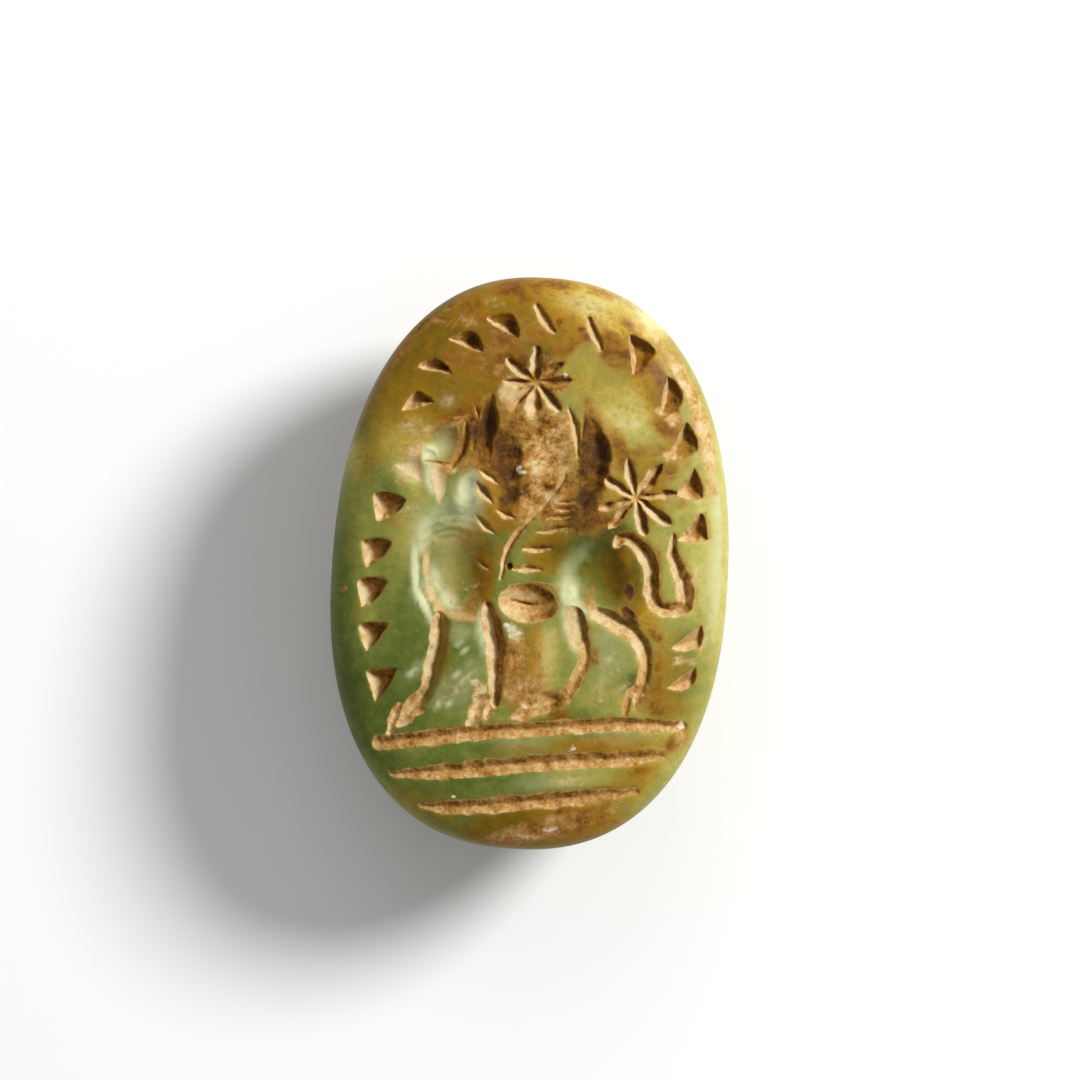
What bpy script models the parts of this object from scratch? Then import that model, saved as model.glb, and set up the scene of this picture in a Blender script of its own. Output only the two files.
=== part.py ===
"""Bead seal of green stone: an oval bead, engraved with a bearded winged lion between two stars.

Metres, +Z up. The seal lies on its domed back with the engraved face up. The origin is the centre of
the small flat on the back, +X is to the right of the engraving and +Y is the top of it.
Lengths below are in millimetres, and MM turns them into metres.
"""

import math

import bmesh
import bpy
from mathutils import Matrix, Vector

MM = 0.001

# The oval, seen from the face: a superellipse that is a little narrower at the top.
HALF_WIDTH = 9.95
HALF_LENGTH = 14.37
OVAL_POWER = 2.32
TOP_NARROWING = 0.03

# The engraving sits a little to the right of the oval's middle, and above it.
ENGRAVING_RIGHT = 0.1
ENGRAVING_UP = 0.1

# The section: a nearly flat face with a rounded edge, over a domed back that ends in a small flat.
GIRTH_HEIGHT = 9.0
FACE_RISE = 3.2
FACE_POWER = 3.6
BACK_DEPTH = 9.25
BACK_POWER = 2.3
BLANK_SEGMENTS = 72
BLANK_RINGS = 32

# The string hole runs from side to side through the dome.
BORE_RADIUS = 1.5
BORE_HEIGHT = 4.0
BORE_SEGMENTS = 28
BORE_OVERRUN = 2.0

# How far the pointed cutters stand out over the face, and how finely the round ones are divided.
# A ball cutter's middle stands over the face by a share of the ball's own half height.
CUTTER_LIFT = 0.6
BALL_RAISED = 0.25
BALL_SEGMENTS = 20
BALL_RINGS = 12
GROOVE_BEVEL_RESOLUTION = 1
GROOVE_CURVE_STEPS = 2
CAP_WELD = 0.00001
SHARP_ANGLE = math.radians(24)
STONE_COLOUR = (0.22, 0.25, 0.07, 1)

# Border of triangular cuts: three corners, then depth.
WEDGES = (
    ((-7.95, -6.1), (-6.45, -5.8), (-7.4, -7.5), 0.55),
    ((-8.5, -3.65), (-7.0, -3.55), (-8.0, -5.0), 0.55),
    ((-8.65, -1.4), (-7.15, -1.45), (-8.35, -2.8), 0.55),
    ((-8.55, 0.55), (-7.1, 0.4), (-8.3, -0.8), 0.55),
    ((-8.05, 3.0), (-6.45, 2.55), (-7.95, 1.5), 0.55),
    ((-7.2, 4.0), (-5.95, 4.6), (-5.65, 3.4), 0.35),
    ((-7.0, 7.15), (-6.3, 8.2), (-5.3, 7.7), 0.5),
    ((-6.3, 9.25), (-5.4, 10.0), (-4.6, 9.1), 0.5),
    ((-4.9, 10.75), (-3.6, 11.35), (-3.2, 10.25), 0.5),
    ((-3.05, 11.95), (-1.6, 12.35), (-1.5, 11.05), 0.55),
    ((-0.55, 12.75), (0.75, 12.65), (0.5, 11.4), 0.55),
    ((2.0, 12.3), (3.25, 11.95), (2.75, 10.75), 0.55),
    ((4.15, 11.6), (5.6, 10.75), (4.4, 9.65), 0.6),
    ((6.2, 9.6), (7.0, 8.1), (5.6, 7.6), 0.55),
    ((7.25, 7.4), (7.85, 5.75), (6.35, 5.55), 0.55),
    ((7.9, 5.15), (8.25, 3.6), (7.0, 3.85), 0.5),
    ((8.35, 2.95), (8.65, 1.6), (7.2, 1.55), 0.45),
    ((8.6, -2.7), (8.5, -3.85), (7.25, -3.85), 0.4),
    ((8.35, -4.85), (8.3, -5.75), (7.15, -5.8), 0.4),
)

# Stars: centre, then the tips of the eight rays.
STARS = (
    (
        (-0.4, 8.95),
        (
            (-0.45, 10.7),
            (-1.85, 9.95),
            (-2.0, 8.75),
            (-1.5, 7.45),
            (-0.4, 7.2),
            (0.85, 7.65),
            (1.3, 9.1),
            (0.9, 10.05),
        ),
    ),
    (
        (4.95, 3.5),
        (
            (4.5, 5.35),
            (6.15, 5.1),
            (7.0, 3.85),
            (6.7, 2.35),
            (5.5, 1.75),
            (3.85, 2.05),
            (3.2, 2.9),
            (3.4, 4.25),
        ),
    ),
)
RAY_HALF_WIDTH = 0.3
RAY_WIDEST = 0.55
RAY_DEPTH = 0.4
STAR_HUB = 0.5
STAR_HUB_DEPTH = 0.35

# Ball drillings: name, centre, half sizes along and across, turn of the long side, depth.
DRILLINGS = (
    ("chest", (-3.85, -0.95), (2.3, 1.85), 80, 1.1),
    ("shoulder", (-3.3, 1.3), (1.6, 1.3), 80, 0.55),
    ("neck", (-3.45, 3.4), (1.0, 0.8), 70, 0.75),
    ("head", (-4.75, 5.1), (1.0, 0.9), 90, 0.6),
    ("cap", (-4.1, 6.1), (0.85, 0.5), 30, 0.35),
    ("wing front", (-2.35, 5.9), (2.1, 0.85), 100, 0.7),
    ("wing root", (-1.2, 4.0), (1.5, 0.9), 60, 0.6),
    ("wing middle", (0.55, 5.3), (2.2, 1.6), 95, 0.5),
    ("wing rear", (2.85, 5.0), (2.2, 0.85), 100, 0.7),
    ("wing tip", (2.2, 3.1), (1.1, 0.7), 60, 0.45),
    ("belly", (-0.1, -2.15), (1.6, 1.0), -4, 0.6),
    ("loin", (1.2, 0.2), (1.6, 0.9), 70, 0.45),
    ("haunch", (2.95, -0.6), (2.0, 1.75), 60, 1.0),
)

# Grooves cut with the edge of a wheel: name, points along it, each with half the width.
GROOVES = (
    (
        "front leg",
        ((-4.45, -2.6), (-4.45, -3.6), (-4.6, -5.0), (-4.85, -6.2), (-5.05, -7.2), (-5.4, -7.8)),
        (0.5, 0.5, 0.44, 0.38, 0.36, 0.42),
    ),
    (
        "second front leg",
        ((-2.15, -2.6), (-1.95, -3.3), (-1.75, -4.3), (-1.62, -5.4), (-1.6, -6.4), (-1.7, -7.3)),
        (0.42, 0.5, 0.5, 0.46, 0.44, 0.4),
    ),
    (
        "hind leg",
        ((2.2, -2.0), (2.25, -3.2), (2.75, -4.1), (2.93, -4.8), (2.7, -5.7), (2.2, -6.6)),
        (0.55, 0.52, 0.48, 0.42, 0.38, 0.36),
    ),
    (
        "second hind leg",
        ((3.7, -2.0), (4.6, -2.8), (5.65, -3.35), (6.15, -4.1), (6.2, -5.2), (6.1, -6.2)),
        (0.6, 0.55, 0.52, 0.46, 0.42, 0.4),
    ),
    (
        "tail",
        (
            (4.15, 1.1),
            (4.6, 1.4),
            (5.3, 1.05),
            (5.9, 0.3),
            (6.0, -0.8),
            (6.35, -1.75),
            (7.15, -2.05),
            (7.85, -1.6),
            (7.85, -0.75),
            (7.25, 0.15),
            (6.95, 0.9),
            (6.95, 1.65),
        ),
        (0.3, 0.38, 0.42, 0.42, 0.42, 0.38, 0.36, 0.36, 0.3, 0.26, 0.24, 0.14),
    ),
    (
        "shoulder line",
        ((1.1, 3.9), (0.45, 2.75), (-0.2, 1.95), (-0.85, 1.1), (-1.25, 0.3), (-1.5, -0.9)),
        (0.14, 0.2, 0.2, 0.2, 0.22, 0.12),
    ),
    (
        "front paw",
        ((-5.3, -7.7), (-5.9, -8.2), (-6.5, -8.5)),
        (0.45, 0.45, 0.3),
    ),
    (
        "second front paw",
        ((-1.75, -7.2), (-2.2, -7.7), (-2.65, -8.1)),
        (0.4, 0.38, 0.26),
    ),
    (
        "hind paw",
        ((2.1, -6.7), (1.1, -7.2), (0.1, -7.5)),
        (0.4, 0.45, 0.3),
    ),
    (
        "second hind paw",
        ((6.05, -6.1), (5.6, -6.6), (5.2, -7.1)),
        (0.45, 0.4, 0.26),
    ),
    (
        "first ground line",
        ((-7.0, -9.45), (-5.0, -9.1), (-2.0, -8.55), (1.0, -8.25), (4.5, -7.8), (8.1, -7.65)),
        (0.3, 0.42, 0.42, 0.4, 0.4, 0.3),
    ),
    (
        "second ground line",
        ((-6.2, -10.98), (-4.0, -10.72), (-1.0, -10.25), (2.0, -9.8), (5.0, -9.5), (7.0, -9.25)),
        (0.16, 0.34, 0.34, 0.34, 0.34, 0.16),
    ),
    (
        "third ground line",
        ((-4.7, -12.5), (-3.0, -12.45), (0.0, -12.05), (3.0, -11.6), (5.9, -11.15)),
        (0.16, 0.32, 0.36, 0.34, 0.16),
    ),
)

# Short straight strokes of a small wheel: two ends, half the width, depth.
STROKES = (
    ((-4.75, 4.3), (-4.9, 2.6), 0.3, 0.45),
    ((-5.6, 4.65), (-4.3, 4.65), 0.12, 0.12),
    ((-3.7, 6.7), (-4.25, 4.4), 0.22, 0.35),
    ((-5.0, 6.75), (-3.2, 6.9), 0.16, 0.2),
    ((-2.85, 4.3), (-2.05, 3.8), 0.2, 0.25),
    ((-3.0, 3.75), (-2.15, 2.8), 0.24, 0.35),
    ((-2.0, 2.55), (-1.0, 2.15), 0.2, 0.25),
    ((-2.85, 2.05), (-2.1, 1.35), 0.22, 0.3),
    ((1.35, 7.8), (1.95, 5.4), 0.25, 0.3),
    ((0.2, 1.55), (1.6, 1.8), 0.18, 0.2),
    ((0.6, 2.25), (1.7, 2.35), 0.16, 0.18),
    ((0.9, 2.8), (1.95, 2.85), 0.16, 0.18),
    ((-0.55, 0.62), (1.1, 0.92), 0.22, 0.3),
    ((-0.95, -0.42), (0.6, -0.3), 0.2, 0.28),
    ((-2.55, -6.15), (-1.8, -6.75), 0.16, 0.18),
    ((-5.75, -6.2), (-5.0, -5.6), 0.2, 0.15),
)


def outline_radius(x, y):
    """How far out a point lies: 0 at the centre of the oval and 1 on its edge."""
    side = HALF_WIDTH * (1 - TOP_NARROWING * y / HALF_LENGTH)
    return (abs(x / side) ** OVAL_POWER + abs(y / HALF_LENGTH) ** OVAL_POWER) ** (1 / OVAL_POWER)


def dome(radius, power):
    """Height of a rounded cap of unit height at this distance from its middle."""
    return max(0.0, 1 - radius**power) ** (1 / power)


def face_height(x, y):
    """Height of the engraved face over the resting plane."""
    return GIRTH_HEIGHT + FACE_RISE * dome(outline_radius(x, y), FACE_POWER)


def oval_point(angle):
    """The point of the oval's edge in this direction."""
    across = math.copysign(abs(math.cos(angle)) ** (2 / OVAL_POWER), math.cos(angle))
    along = math.copysign(abs(math.sin(angle)) ** (2 / OVAL_POWER), math.sin(angle))
    return HALF_WIDTH * across * (1 - TOP_NARROWING * along), HALF_LENGTH * along


def clear_scene():
    """Remove whatever the file starts with."""
    for obj in list(bpy.data.objects):
        bpy.data.objects.remove(obj)


def face_outwards(shape):
    """Turn every face of the closed shape outwards."""
    bmesh.ops.recalc_face_normals(shape, faces=shape.faces)
    if shape.calc_volume(signed=True) < 0:
        bmesh.ops.reverse_faces(shape, faces=shape.faces)


def new_object(name, mesh_builder, collection):
    """Fill a mesh with the builder and put it in the collection as an object of that name."""
    shape = bmesh.new()
    mesh_builder(shape)
    face_outwards(shape)
    bmesh.ops.scale(shape, vec=(MM, MM, MM), verts=shape.verts)
    mesh = bpy.data.meshes.new(name)
    shape.to_mesh(mesh)
    shape.free()
    mesh.shade_smooth()
    obj = bpy.data.objects.new(name, mesh)
    collection.objects.link(obj)
    return obj


def build_blank(shape):
    """A sphere drawn out to the oval, with the face above the girth and the domed back below it."""
    bmesh.ops.create_uvsphere(shape, u_segments=BLANK_SEGMENTS, v_segments=BLANK_RINGS, radius=1)
    for vert in shape.verts:
        radius = min(1.0, math.hypot(vert.co.x, vert.co.y))
        edge_x, edge_y = oval_point(math.atan2(vert.co.y, vert.co.x))
        if vert.co.z > 0:
            height = GIRTH_HEIGHT + FACE_RISE * dome(radius, FACE_POWER)
        else:
            height = max(0.0, GIRTH_HEIGHT - BACK_DEPTH * dome(radius, BACK_POWER))
        vert.co = Vector((edge_x * radius, edge_y * radius, height))


def pointed_cut(corners, depth):
    """A builder of a pyramid with its point down: its sides meet the face at the corners."""

    def build(shape):
        middle_x = sum(corner[0] for corner in corners) / len(corners)
        middle_y = sum(corner[1] for corner in corners) / len(corners)
        surface = face_height(middle_x, middle_y)
        spread = (depth + CUTTER_LIFT) / depth
        made = bmesh.ops.create_cone(
            shape,
            cap_ends=True,
            segments=len(corners),
            radius1=1,
            radius2=0,
            depth=1,
        )
        tip = max(made["verts"], key=lambda vert: vert.co.z)
        rim = [vert for vert in made["verts"] if vert is not tip]
        rim.sort(key=lambda vert: math.atan2(vert.co.y, vert.co.x))
        ordered = sorted(corners, key=lambda c: math.atan2(c[1] - middle_y, c[0] - middle_x))
        tip.co = Vector((middle_x, middle_y, surface - depth))
        for vert, (x, y) in zip(rim, ordered):
            vert.co = Vector(
                (
                    middle_x + (x - middle_x) * spread,
                    middle_y + (y - middle_y) * spread,
                    surface + CUTTER_LIFT,
                )
            )

    return build


def kite(start, end, half_width, widest):
    """Four corners of a stroke that is pointed at both ends and widest part of the way along."""
    run_x = end[0] - start[0]
    run_y = end[1] - start[1]
    length = math.hypot(run_x, run_y)
    side_x = -run_y / length * half_width
    side_y = run_x / length * half_width
    middle_x = start[0] + run_x * widest
    middle_y = start[1] + run_y * widest
    return (
        start,
        (middle_x + side_x, middle_y + side_y),
        end,
        (middle_x - side_x, middle_y - side_y),
    )


def round_cut(centre, half_sizes, turn, depth):
    """A builder of a flattened ball that sinks to the depth, with the half sizes at the face."""

    def build(shape):
        surface = face_height(*centre)
        height = depth / (1 - BALL_RAISED)
        spread = 1 / math.sqrt(1 - BALL_RAISED**2)
        made = bmesh.ops.create_uvsphere(
            shape, u_segments=BALL_SEGMENTS, v_segments=BALL_RINGS, radius=1
        )
        angle = math.radians(turn)
        for vert in made["verts"]:
            along = vert.co.x * half_sizes[0] * spread
            across = vert.co.y * half_sizes[1] * spread
            vert.co = Vector(
                (
                    centre[0] + along * math.cos(angle) - across * math.sin(angle),
                    centre[1] + along * math.sin(angle) + across * math.cos(angle),
                    surface + height * (vert.co.z + BALL_RAISED),
                )
            )

    return build


def groove_cutter(name, path, half_widths, collection):
    """A rounded groove along the path: a tube whose axis lies in the face."""
    curve = bpy.data.curves.new(name, "CURVE")
    curve.dimensions = "3D"
    curve.bevel_depth = MM
    curve.bevel_resolution = GROOVE_BEVEL_RESOLUTION
    curve.use_fill_caps = True
    curve.resolution_u = GROOVE_CURVE_STEPS
    spline = curve.splines.new("BEZIER")
    spline.bezier_points.add(len(path) - 1)
    for point, (x, y), half_width in zip(spline.bezier_points, path, half_widths):
        point.co = (x * MM, y * MM, face_height(x, y) * MM)
        point.radius = half_width
        point.handle_left_type = "AUTO"
        point.handle_right_type = "AUTO"
    tube = bpy.data.objects.new(name + " path", curve)
    collection.objects.link(tube)
    mesh = bpy.data.meshes.new_from_object(tube)
    bpy.data.objects.remove(tube)
    shape = bmesh.new()
    shape.from_mesh(mesh)
    bmesh.ops.remove_doubles(shape, verts=shape.verts, dist=CAP_WELD)
    face_outwards(shape)
    shape.to_mesh(mesh)
    shape.free()
    mesh.shade_smooth()
    obj = bpy.data.objects.new(name, mesh)
    collection.objects.link(obj)


def build_bore(shape):
    """The string hole, from side to side."""
    made = bmesh.ops.create_cone(
        shape,
        cap_ends=True,
        segments=BORE_SEGMENTS,
        radius1=BORE_RADIUS,
        radius2=BORE_RADIUS,
        depth=2 * (HALF_WIDTH + BORE_OVERRUN),
    )
    for vert in made["verts"]:
        vert.co = Vector((vert.co.z, vert.co.y, vert.co.x + BORE_HEIGHT))


def make_cutters(collection):
    """Every cutter of the engraving."""
    for index, (*corners, depth) in enumerate(WEDGES, 1):
        new_object(f"border cut {index}", pointed_cut(corners, depth), collection)
    for index, (centre, tips) in enumerate(STARS, 1):
        hub = round_cut(centre, (STAR_HUB, STAR_HUB), 0, STAR_HUB_DEPTH)
        new_object(f"star {index} hub", hub, collection)
        for ray, tip in enumerate(tips, 1):
            corners = kite(centre, tip, RAY_HALF_WIDTH, RAY_WIDEST)
            new_object(f"star {index} ray {ray}", pointed_cut(corners, RAY_DEPTH), collection)
    for name, centre, half_sizes, turn, depth in DRILLINGS:
        new_object(name, round_cut(centre, half_sizes, turn, depth), collection)
    for name, path, half_widths in GROOVES:
        groove_cutter(name, path, half_widths, collection)
    for index, (start, end, half_width, depth) in enumerate(STROKES, 1):
        corners = kite(start, end, half_width, 0.5)
        new_object(f"stroke {index}", pointed_cut(corners, depth), collection)
    shift = Matrix.Translation((ENGRAVING_RIGHT * MM, ENGRAVING_UP * MM, 0))
    for obj in collection.objects:
        obj.data.transform(shift)


def stone_material():
    """Polished yellow-green stone."""
    material = bpy.data.materials.new("green stone")
    material.use_nodes = True
    shader = material.node_tree.nodes["Principled BSDF"]
    shader.inputs["Base Color"].default_value = STONE_COLOUR
    shader.inputs["Roughness"].default_value = 0.4
    shader.inputs["Metallic"].default_value = 0.0
    material.diffuse_color = STONE_COLOUR
    return material


def add_cut(seal, name):
    """An exact Boolean of that name that takes its cutter out of the seal."""
    cut = seal.modifiers.new(name, "BOOLEAN")
    cut.operation = "DIFFERENCE"
    cut.solver = "EXACT"
    return cut


def main():
    clear_scene()
    seal_parts = bpy.data.collections.new("bead seal")
    cutters = bpy.data.collections.new("cutters")
    drills = bpy.data.collections.new("drills")
    for collection in (seal_parts, cutters, drills):
        bpy.context.scene.collection.children.link(collection)
    seal = new_object("seal_stone", build_blank, seal_parts)
    make_cutters(cutters)
    drilling = add_cut(seal, "string hole")
    drilling.object = new_object("string hole", build_bore, drills)
    engraving = add_cut(seal, "engraving")
    engraving.operand_type = "COLLECTION"
    engraving.collection = cutters
    for helper in (*cutters.objects, *drills.objects):
        helper.hide_render = True
        helper.display_type = "WIRE"
    graph = bpy.context.evaluated_depsgraph_get()
    engraved = bpy.data.meshes.new_from_object(seal.evaluated_get(graph))
    engraved.name = "seal_stone"
    seal.modifiers.clear()
    seal.data = engraved
    engraved.materials.clear()
    engraved.materials.append(stone_material())
    engraved.shade_smooth()
    engraved.set_sharp_from_angle(angle=SHARP_ANGLE)


main()
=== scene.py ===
"""Looks of an engraved bead seal: an oval, domed bead of yellow-green translucent stone.

The face carries a bearded winged lion in intaglio, two stars, three ground lines and a border of
pointed cuts. Tan and brown earth still lies in the cuts. Lengths in this file are in millimetres
unless a name says otherwise, and MM turns them into metres.
"""

import logging
import math
from dataclasses import dataclass, field
from enum import Enum

import bmesh
import bpy
import numpy as np
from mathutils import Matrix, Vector


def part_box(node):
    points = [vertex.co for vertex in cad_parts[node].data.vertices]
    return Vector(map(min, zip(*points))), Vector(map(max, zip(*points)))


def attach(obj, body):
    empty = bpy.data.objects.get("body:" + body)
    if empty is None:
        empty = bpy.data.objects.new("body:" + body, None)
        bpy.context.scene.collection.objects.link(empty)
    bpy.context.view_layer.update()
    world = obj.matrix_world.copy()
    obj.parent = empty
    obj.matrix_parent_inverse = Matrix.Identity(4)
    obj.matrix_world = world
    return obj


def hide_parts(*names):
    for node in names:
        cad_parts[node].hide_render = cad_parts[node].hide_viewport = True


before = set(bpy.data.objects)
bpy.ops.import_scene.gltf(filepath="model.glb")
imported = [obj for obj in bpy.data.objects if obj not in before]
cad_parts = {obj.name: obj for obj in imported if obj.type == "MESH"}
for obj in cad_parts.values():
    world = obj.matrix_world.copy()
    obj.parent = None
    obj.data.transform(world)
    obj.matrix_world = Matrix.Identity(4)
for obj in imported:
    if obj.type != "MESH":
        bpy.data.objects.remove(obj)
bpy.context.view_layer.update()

MM = 0.001
NODE = "seal_stone"
BODY = "root"
LOG = logging.getLogger("bead_seal")

Points = np.ndarray

# Which way the key light comes from, as distances to the right and up: cut walls that face it are painted
# pale and the others dark.
LIT_SIDE = (0.82, 0.57)
CUT_LOOKS = ("clay", "clay_in_shade", "tone", "glint", "shade", "ochre", "grit")

# The depth that stands for no cut at all, and how far past its rim a cut's worn lip can go.
NO_CUT = -0.5
LIP_MARGIN = 0.3
# How dark thin earth is on the face and on the sides, and how coarse earth usually is.
FACE_TONE = 0.3
SIDE_TONE = 0.4
USUAL_GRIT = 0.7
TINY = 1e-6


class Soil(Enum):
    """What colours the stone from place to place. The value names the mesh attribute."""

    WARM = "warm"
    # How pale the stone is: its own colour, with painted light along the right edge and painted shade along
    # the left one and in some spots.
    LIGHT = "light"
    # Milky clouding, and painted highlights where polished walls face the key light.
    MILK_AND_HIGHLIGHT = "milk_and_highlight"
    # Rust stains, laid heavier on and beside the cut walls away from the key light, as painted shade too.
    OCHRE = "ochre"
    CLAY = "clay"
    # How dark the earth is; on the cut walls it also holds painted light and shade.
    TONE = "tone"
    GRIT = "grit"
    CRUMB = "crumb"


def smooth_step(value: Points, low: float, high: float) -> Points:
    """Ease from 0 at the low value to 1 at the high one.

    Args:
        value: The numbers to ease.
        low: Where the step starts.
        high: Where the step ends.

    Returns:
        The eased numbers, from 0 to 1.
    """
    share = np.clip((value - low) / (high - low), 0.0, 1.0)
    return share * share * (3.0 - 2.0 * share)


def turned(x: Points, y: Points, degrees: float) -> tuple[Points, Points]:
    """Read points along axes that are turned by this many degrees.

    Args:
        x: Distances to the right.
        y: Distances upwards.
        degrees: How far the axes are turned, anticlockwise.

    Returns:
        The distances along and across the turned axes.
    """
    angle = math.radians(degrees)
    along = x * math.cos(angle) + y * math.sin(angle)
    across = -x * math.sin(angle) + y * math.cos(angle)
    return along, across


@dataclass(frozen=True)
class Ripple:
    """A smooth, even wandering of a value over the surface, the same each time.

    Attributes:
        wavelength: The usual distance from crest to crest.
        seed: Picks one pattern out of many.
        waves: How many plane waves make it up.
    """

    wavelength: float
    seed: int
    waves: int = 14

    def at(self, x: Points, y: Points, z: Points | float = 0.0) -> Points:
        """Return the value at each point, about -1 to 1."""
        draw = np.random.default_rng(self.seed)
        total = np.zeros(np.shape(x))
        for _ in range(self.waves):
            way = draw.normal(size=3)
            way *= draw.uniform(0.6, 1.5) * 2 * math.pi / (self.wavelength * np.linalg.norm(way))
            total += np.sin(way[0] * x + way[1] * y + way[2] * z + draw.uniform(0, 2 * math.pi))
        return total / math.sqrt(self.waves)


@dataclass(frozen=True)
class Cut:
    """What every cut of the engraving has. Tones run from 0, pale cream earth, to 1, dark soil.

    Attributes:
        clay: How much earth lies on the walls that face the key light, up and to the right, laid thick there
            as painted light.
        clay_in_shade: How much lies on the others.
        tone: How dark the earth is where the cut is level.
        glint: How much paler it is painted on the walls that face the key light: a painted highlight.
        shade: How much darker it is painted on the others: painted shade.
        ochre: How strongly rust has stained the stone of the cut, laid heavier on the walls away from the
            light as painted shade.
        grit: How coarse its earth is.
        over: Whether it is made in the bottom of what is sunk already.
    """

    clay: float = field(default=1.0, kw_only=True)
    clay_in_shade: float = field(default=0.2, kw_only=True)
    tone: float = field(default=0.3, kw_only=True)
    glint: float = field(default=0.2, kw_only=True)
    shade: float = field(default=0.25, kw_only=True)
    ochre: float = field(default=0.6, kw_only=True)
    grit: float = field(default=0.3, kw_only=True)
    over: bool = field(default=False, kw_only=True)

    def extent(self) -> tuple[Points, float]:
        """Return the points that the cut is laid out from, and how far from them it can go."""
        raise NotImplementedError

    def raw_depth(self, x: Points, y: Points) -> Points:
        """Return how deep the cut is at each point, below zero outside it."""
        raise NotImplementedError

    def near(self, x: Points, y: Points) -> Points:
        """Say which points the cut can touch."""
        spots, margin = self.extent()
        low_x, low_y = spots.min(axis=0) - margin
        high_x, high_y = spots.max(axis=0) + margin
        return (x > low_x) & (x < high_x) & (y > low_y) & (y < high_y)


@dataclass(frozen=True)
class Dish(Cut):
    """A hollow that reaches out differently to each side of its deepest point.

    Attributes:
        centre: Its deepest point.
        reaches: How far it goes to the right, up, to the left and down, before it is turned.
        depth: How deep it is.
        softness: For the same sides, 0 for a crisp edge and 1 for one that fades into the face.
        turn: How far it is turned, in degrees.
    """

    centre: tuple[float, float]
    reaches: tuple[float, float, float, float]
    depth: float
    softness: tuple[float, float, float, float] = (0.0, 0.0, 0.0, 0.0)
    turn: float = 0.0

    def extent(self) -> tuple[Points, float]:
        """Return the centre and a distance that is enough for any turn."""
        return np.array([self.centre]), max(self.reaches) * 1.25 + LIP_MARGIN

    def raw_depth(self, x: Points, y: Points) -> Points:
        """Return the depth of the bowl, carried on as a slope outside its rim."""
        along, across = turned(x - self.centre[0], y - self.centre[1], self.turn)
        right, up, left, down = self.reaches
        along = along / np.where(along > 0, right, left)
        across = across / np.where(across > 0, up, down)
        out = np.hypot(along, across)
        soft_x = np.where(along > 0, self.softness[0], self.softness[2])
        soft_y = np.where(across > 0, self.softness[1], self.softness[3])
        soft = (soft_x * along**2 + soft_y * across**2) / np.maximum(out**2, 1e-9)
        inside = self.depth * np.maximum(0.0, 1.0 - out**2) ** (1.0 + soft)
        return np.where(out < 1.0, inside, np.maximum(2.0 * self.depth * (1.0 - out), NO_CUT))


@dataclass(frozen=True)
class Groove(Cut):
    """A groove cut with the edge of a wheel along a smooth path.

    Attributes:
        path: Points along its middle.
        half_widths: Half its width at each of those points.
        steepness: Its depth for each millimetre of half width.
        fullness: The section, from 1 for a sharp keel to 2 for a round bottom.
        lumps: How unevenly wide it is, as a share of its width.
        skew: How much wider than the other its wall that faces the key light is, as a share of its width.
        fade: How softly the other wall runs out into the face, from 0 for a crisp edge.
        steps: How many straight pieces stand for the curve between two points.
    """

    path: tuple[tuple[float, float], ...]
    half_widths: tuple[float, ...]
    steepness: float = 1.2
    fullness: float = 1.2
    lumps: float = 0.0
    skew: float = 0.12
    fade: float = 0.0
    steps: int = 6

    def extent(self) -> tuple[Points, float]:
        """Return the path and the groove's greatest half width, with room for lumps and skew."""
        return np.array(self.path), max(self.half_widths) * 1.6 + LIP_MARGIN

    def fine_path(self) -> Points:
        """Return points and half widths along a smooth curve through the path."""
        spots = np.column_stack([np.array(self.path), np.array(self.half_widths)])
        padded = np.vstack([2 * spots[0] - spots[1], spots, 2 * spots[-1] - spots[-2]])
        rows = []
        for before, start, end, after in zip(padded, padded[1:], padded[2:], padded[3:]):
            for share in np.arange(self.steps) / self.steps:
                bend = 2 * start + (end - before) * share
                bend += (2 * before - 5 * start + 4 * end - after) * share**2
                bend += (3 * start - before - 3 * end + after) * share**3
                rows.append(bend / 2)
        rows.append(spots[-1])
        return np.array(rows)

    def raw_depth(self, x: Points, y: Points) -> Points:
        """Return the depth under the nearest stretch of the path."""
        deepest = np.full(np.shape(x), NO_CUT)
        uneven = 1.0 + self.lumps * Ripple(0.9, 21).at(x, y) if self.lumps else 1.0
        fine = self.fine_path()
        for (x0, y0, w0), (x1, y1, w1) in zip(fine, fine[1:]):
            run_x, run_y = x1 - x0, y1 - y0
            share = ((x - x0) * run_x + (y - y0) * run_y) / max(run_x**2 + run_y**2, 1e-9)
            share = np.clip(share, 0.0, 1.0)
            width = np.maximum(w0 + (w1 - w0) * share, 0.02) * uneven
            off_x, off_y = x - x0 - run_x * share, y - y0 - run_y * share
            away = np.hypot(off_x, off_y)
            side = (off_x * LIT_SIDE[0] + off_y * LIT_SIDE[1]) / np.maximum(away, TINY)
            away = away / (width * (1.0 - self.skew * side))
            power = 1.0 + self.fade * np.maximum(side, 0.0)
            inner = np.maximum(1.0 - away**self.fullness, 0.0) ** power
            hollow = np.where(away < 1.0, inner, self.fullness * (1.0 - away))
            deepest = np.maximum(deepest, self.steepness * width * hollow)
        return deepest


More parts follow.
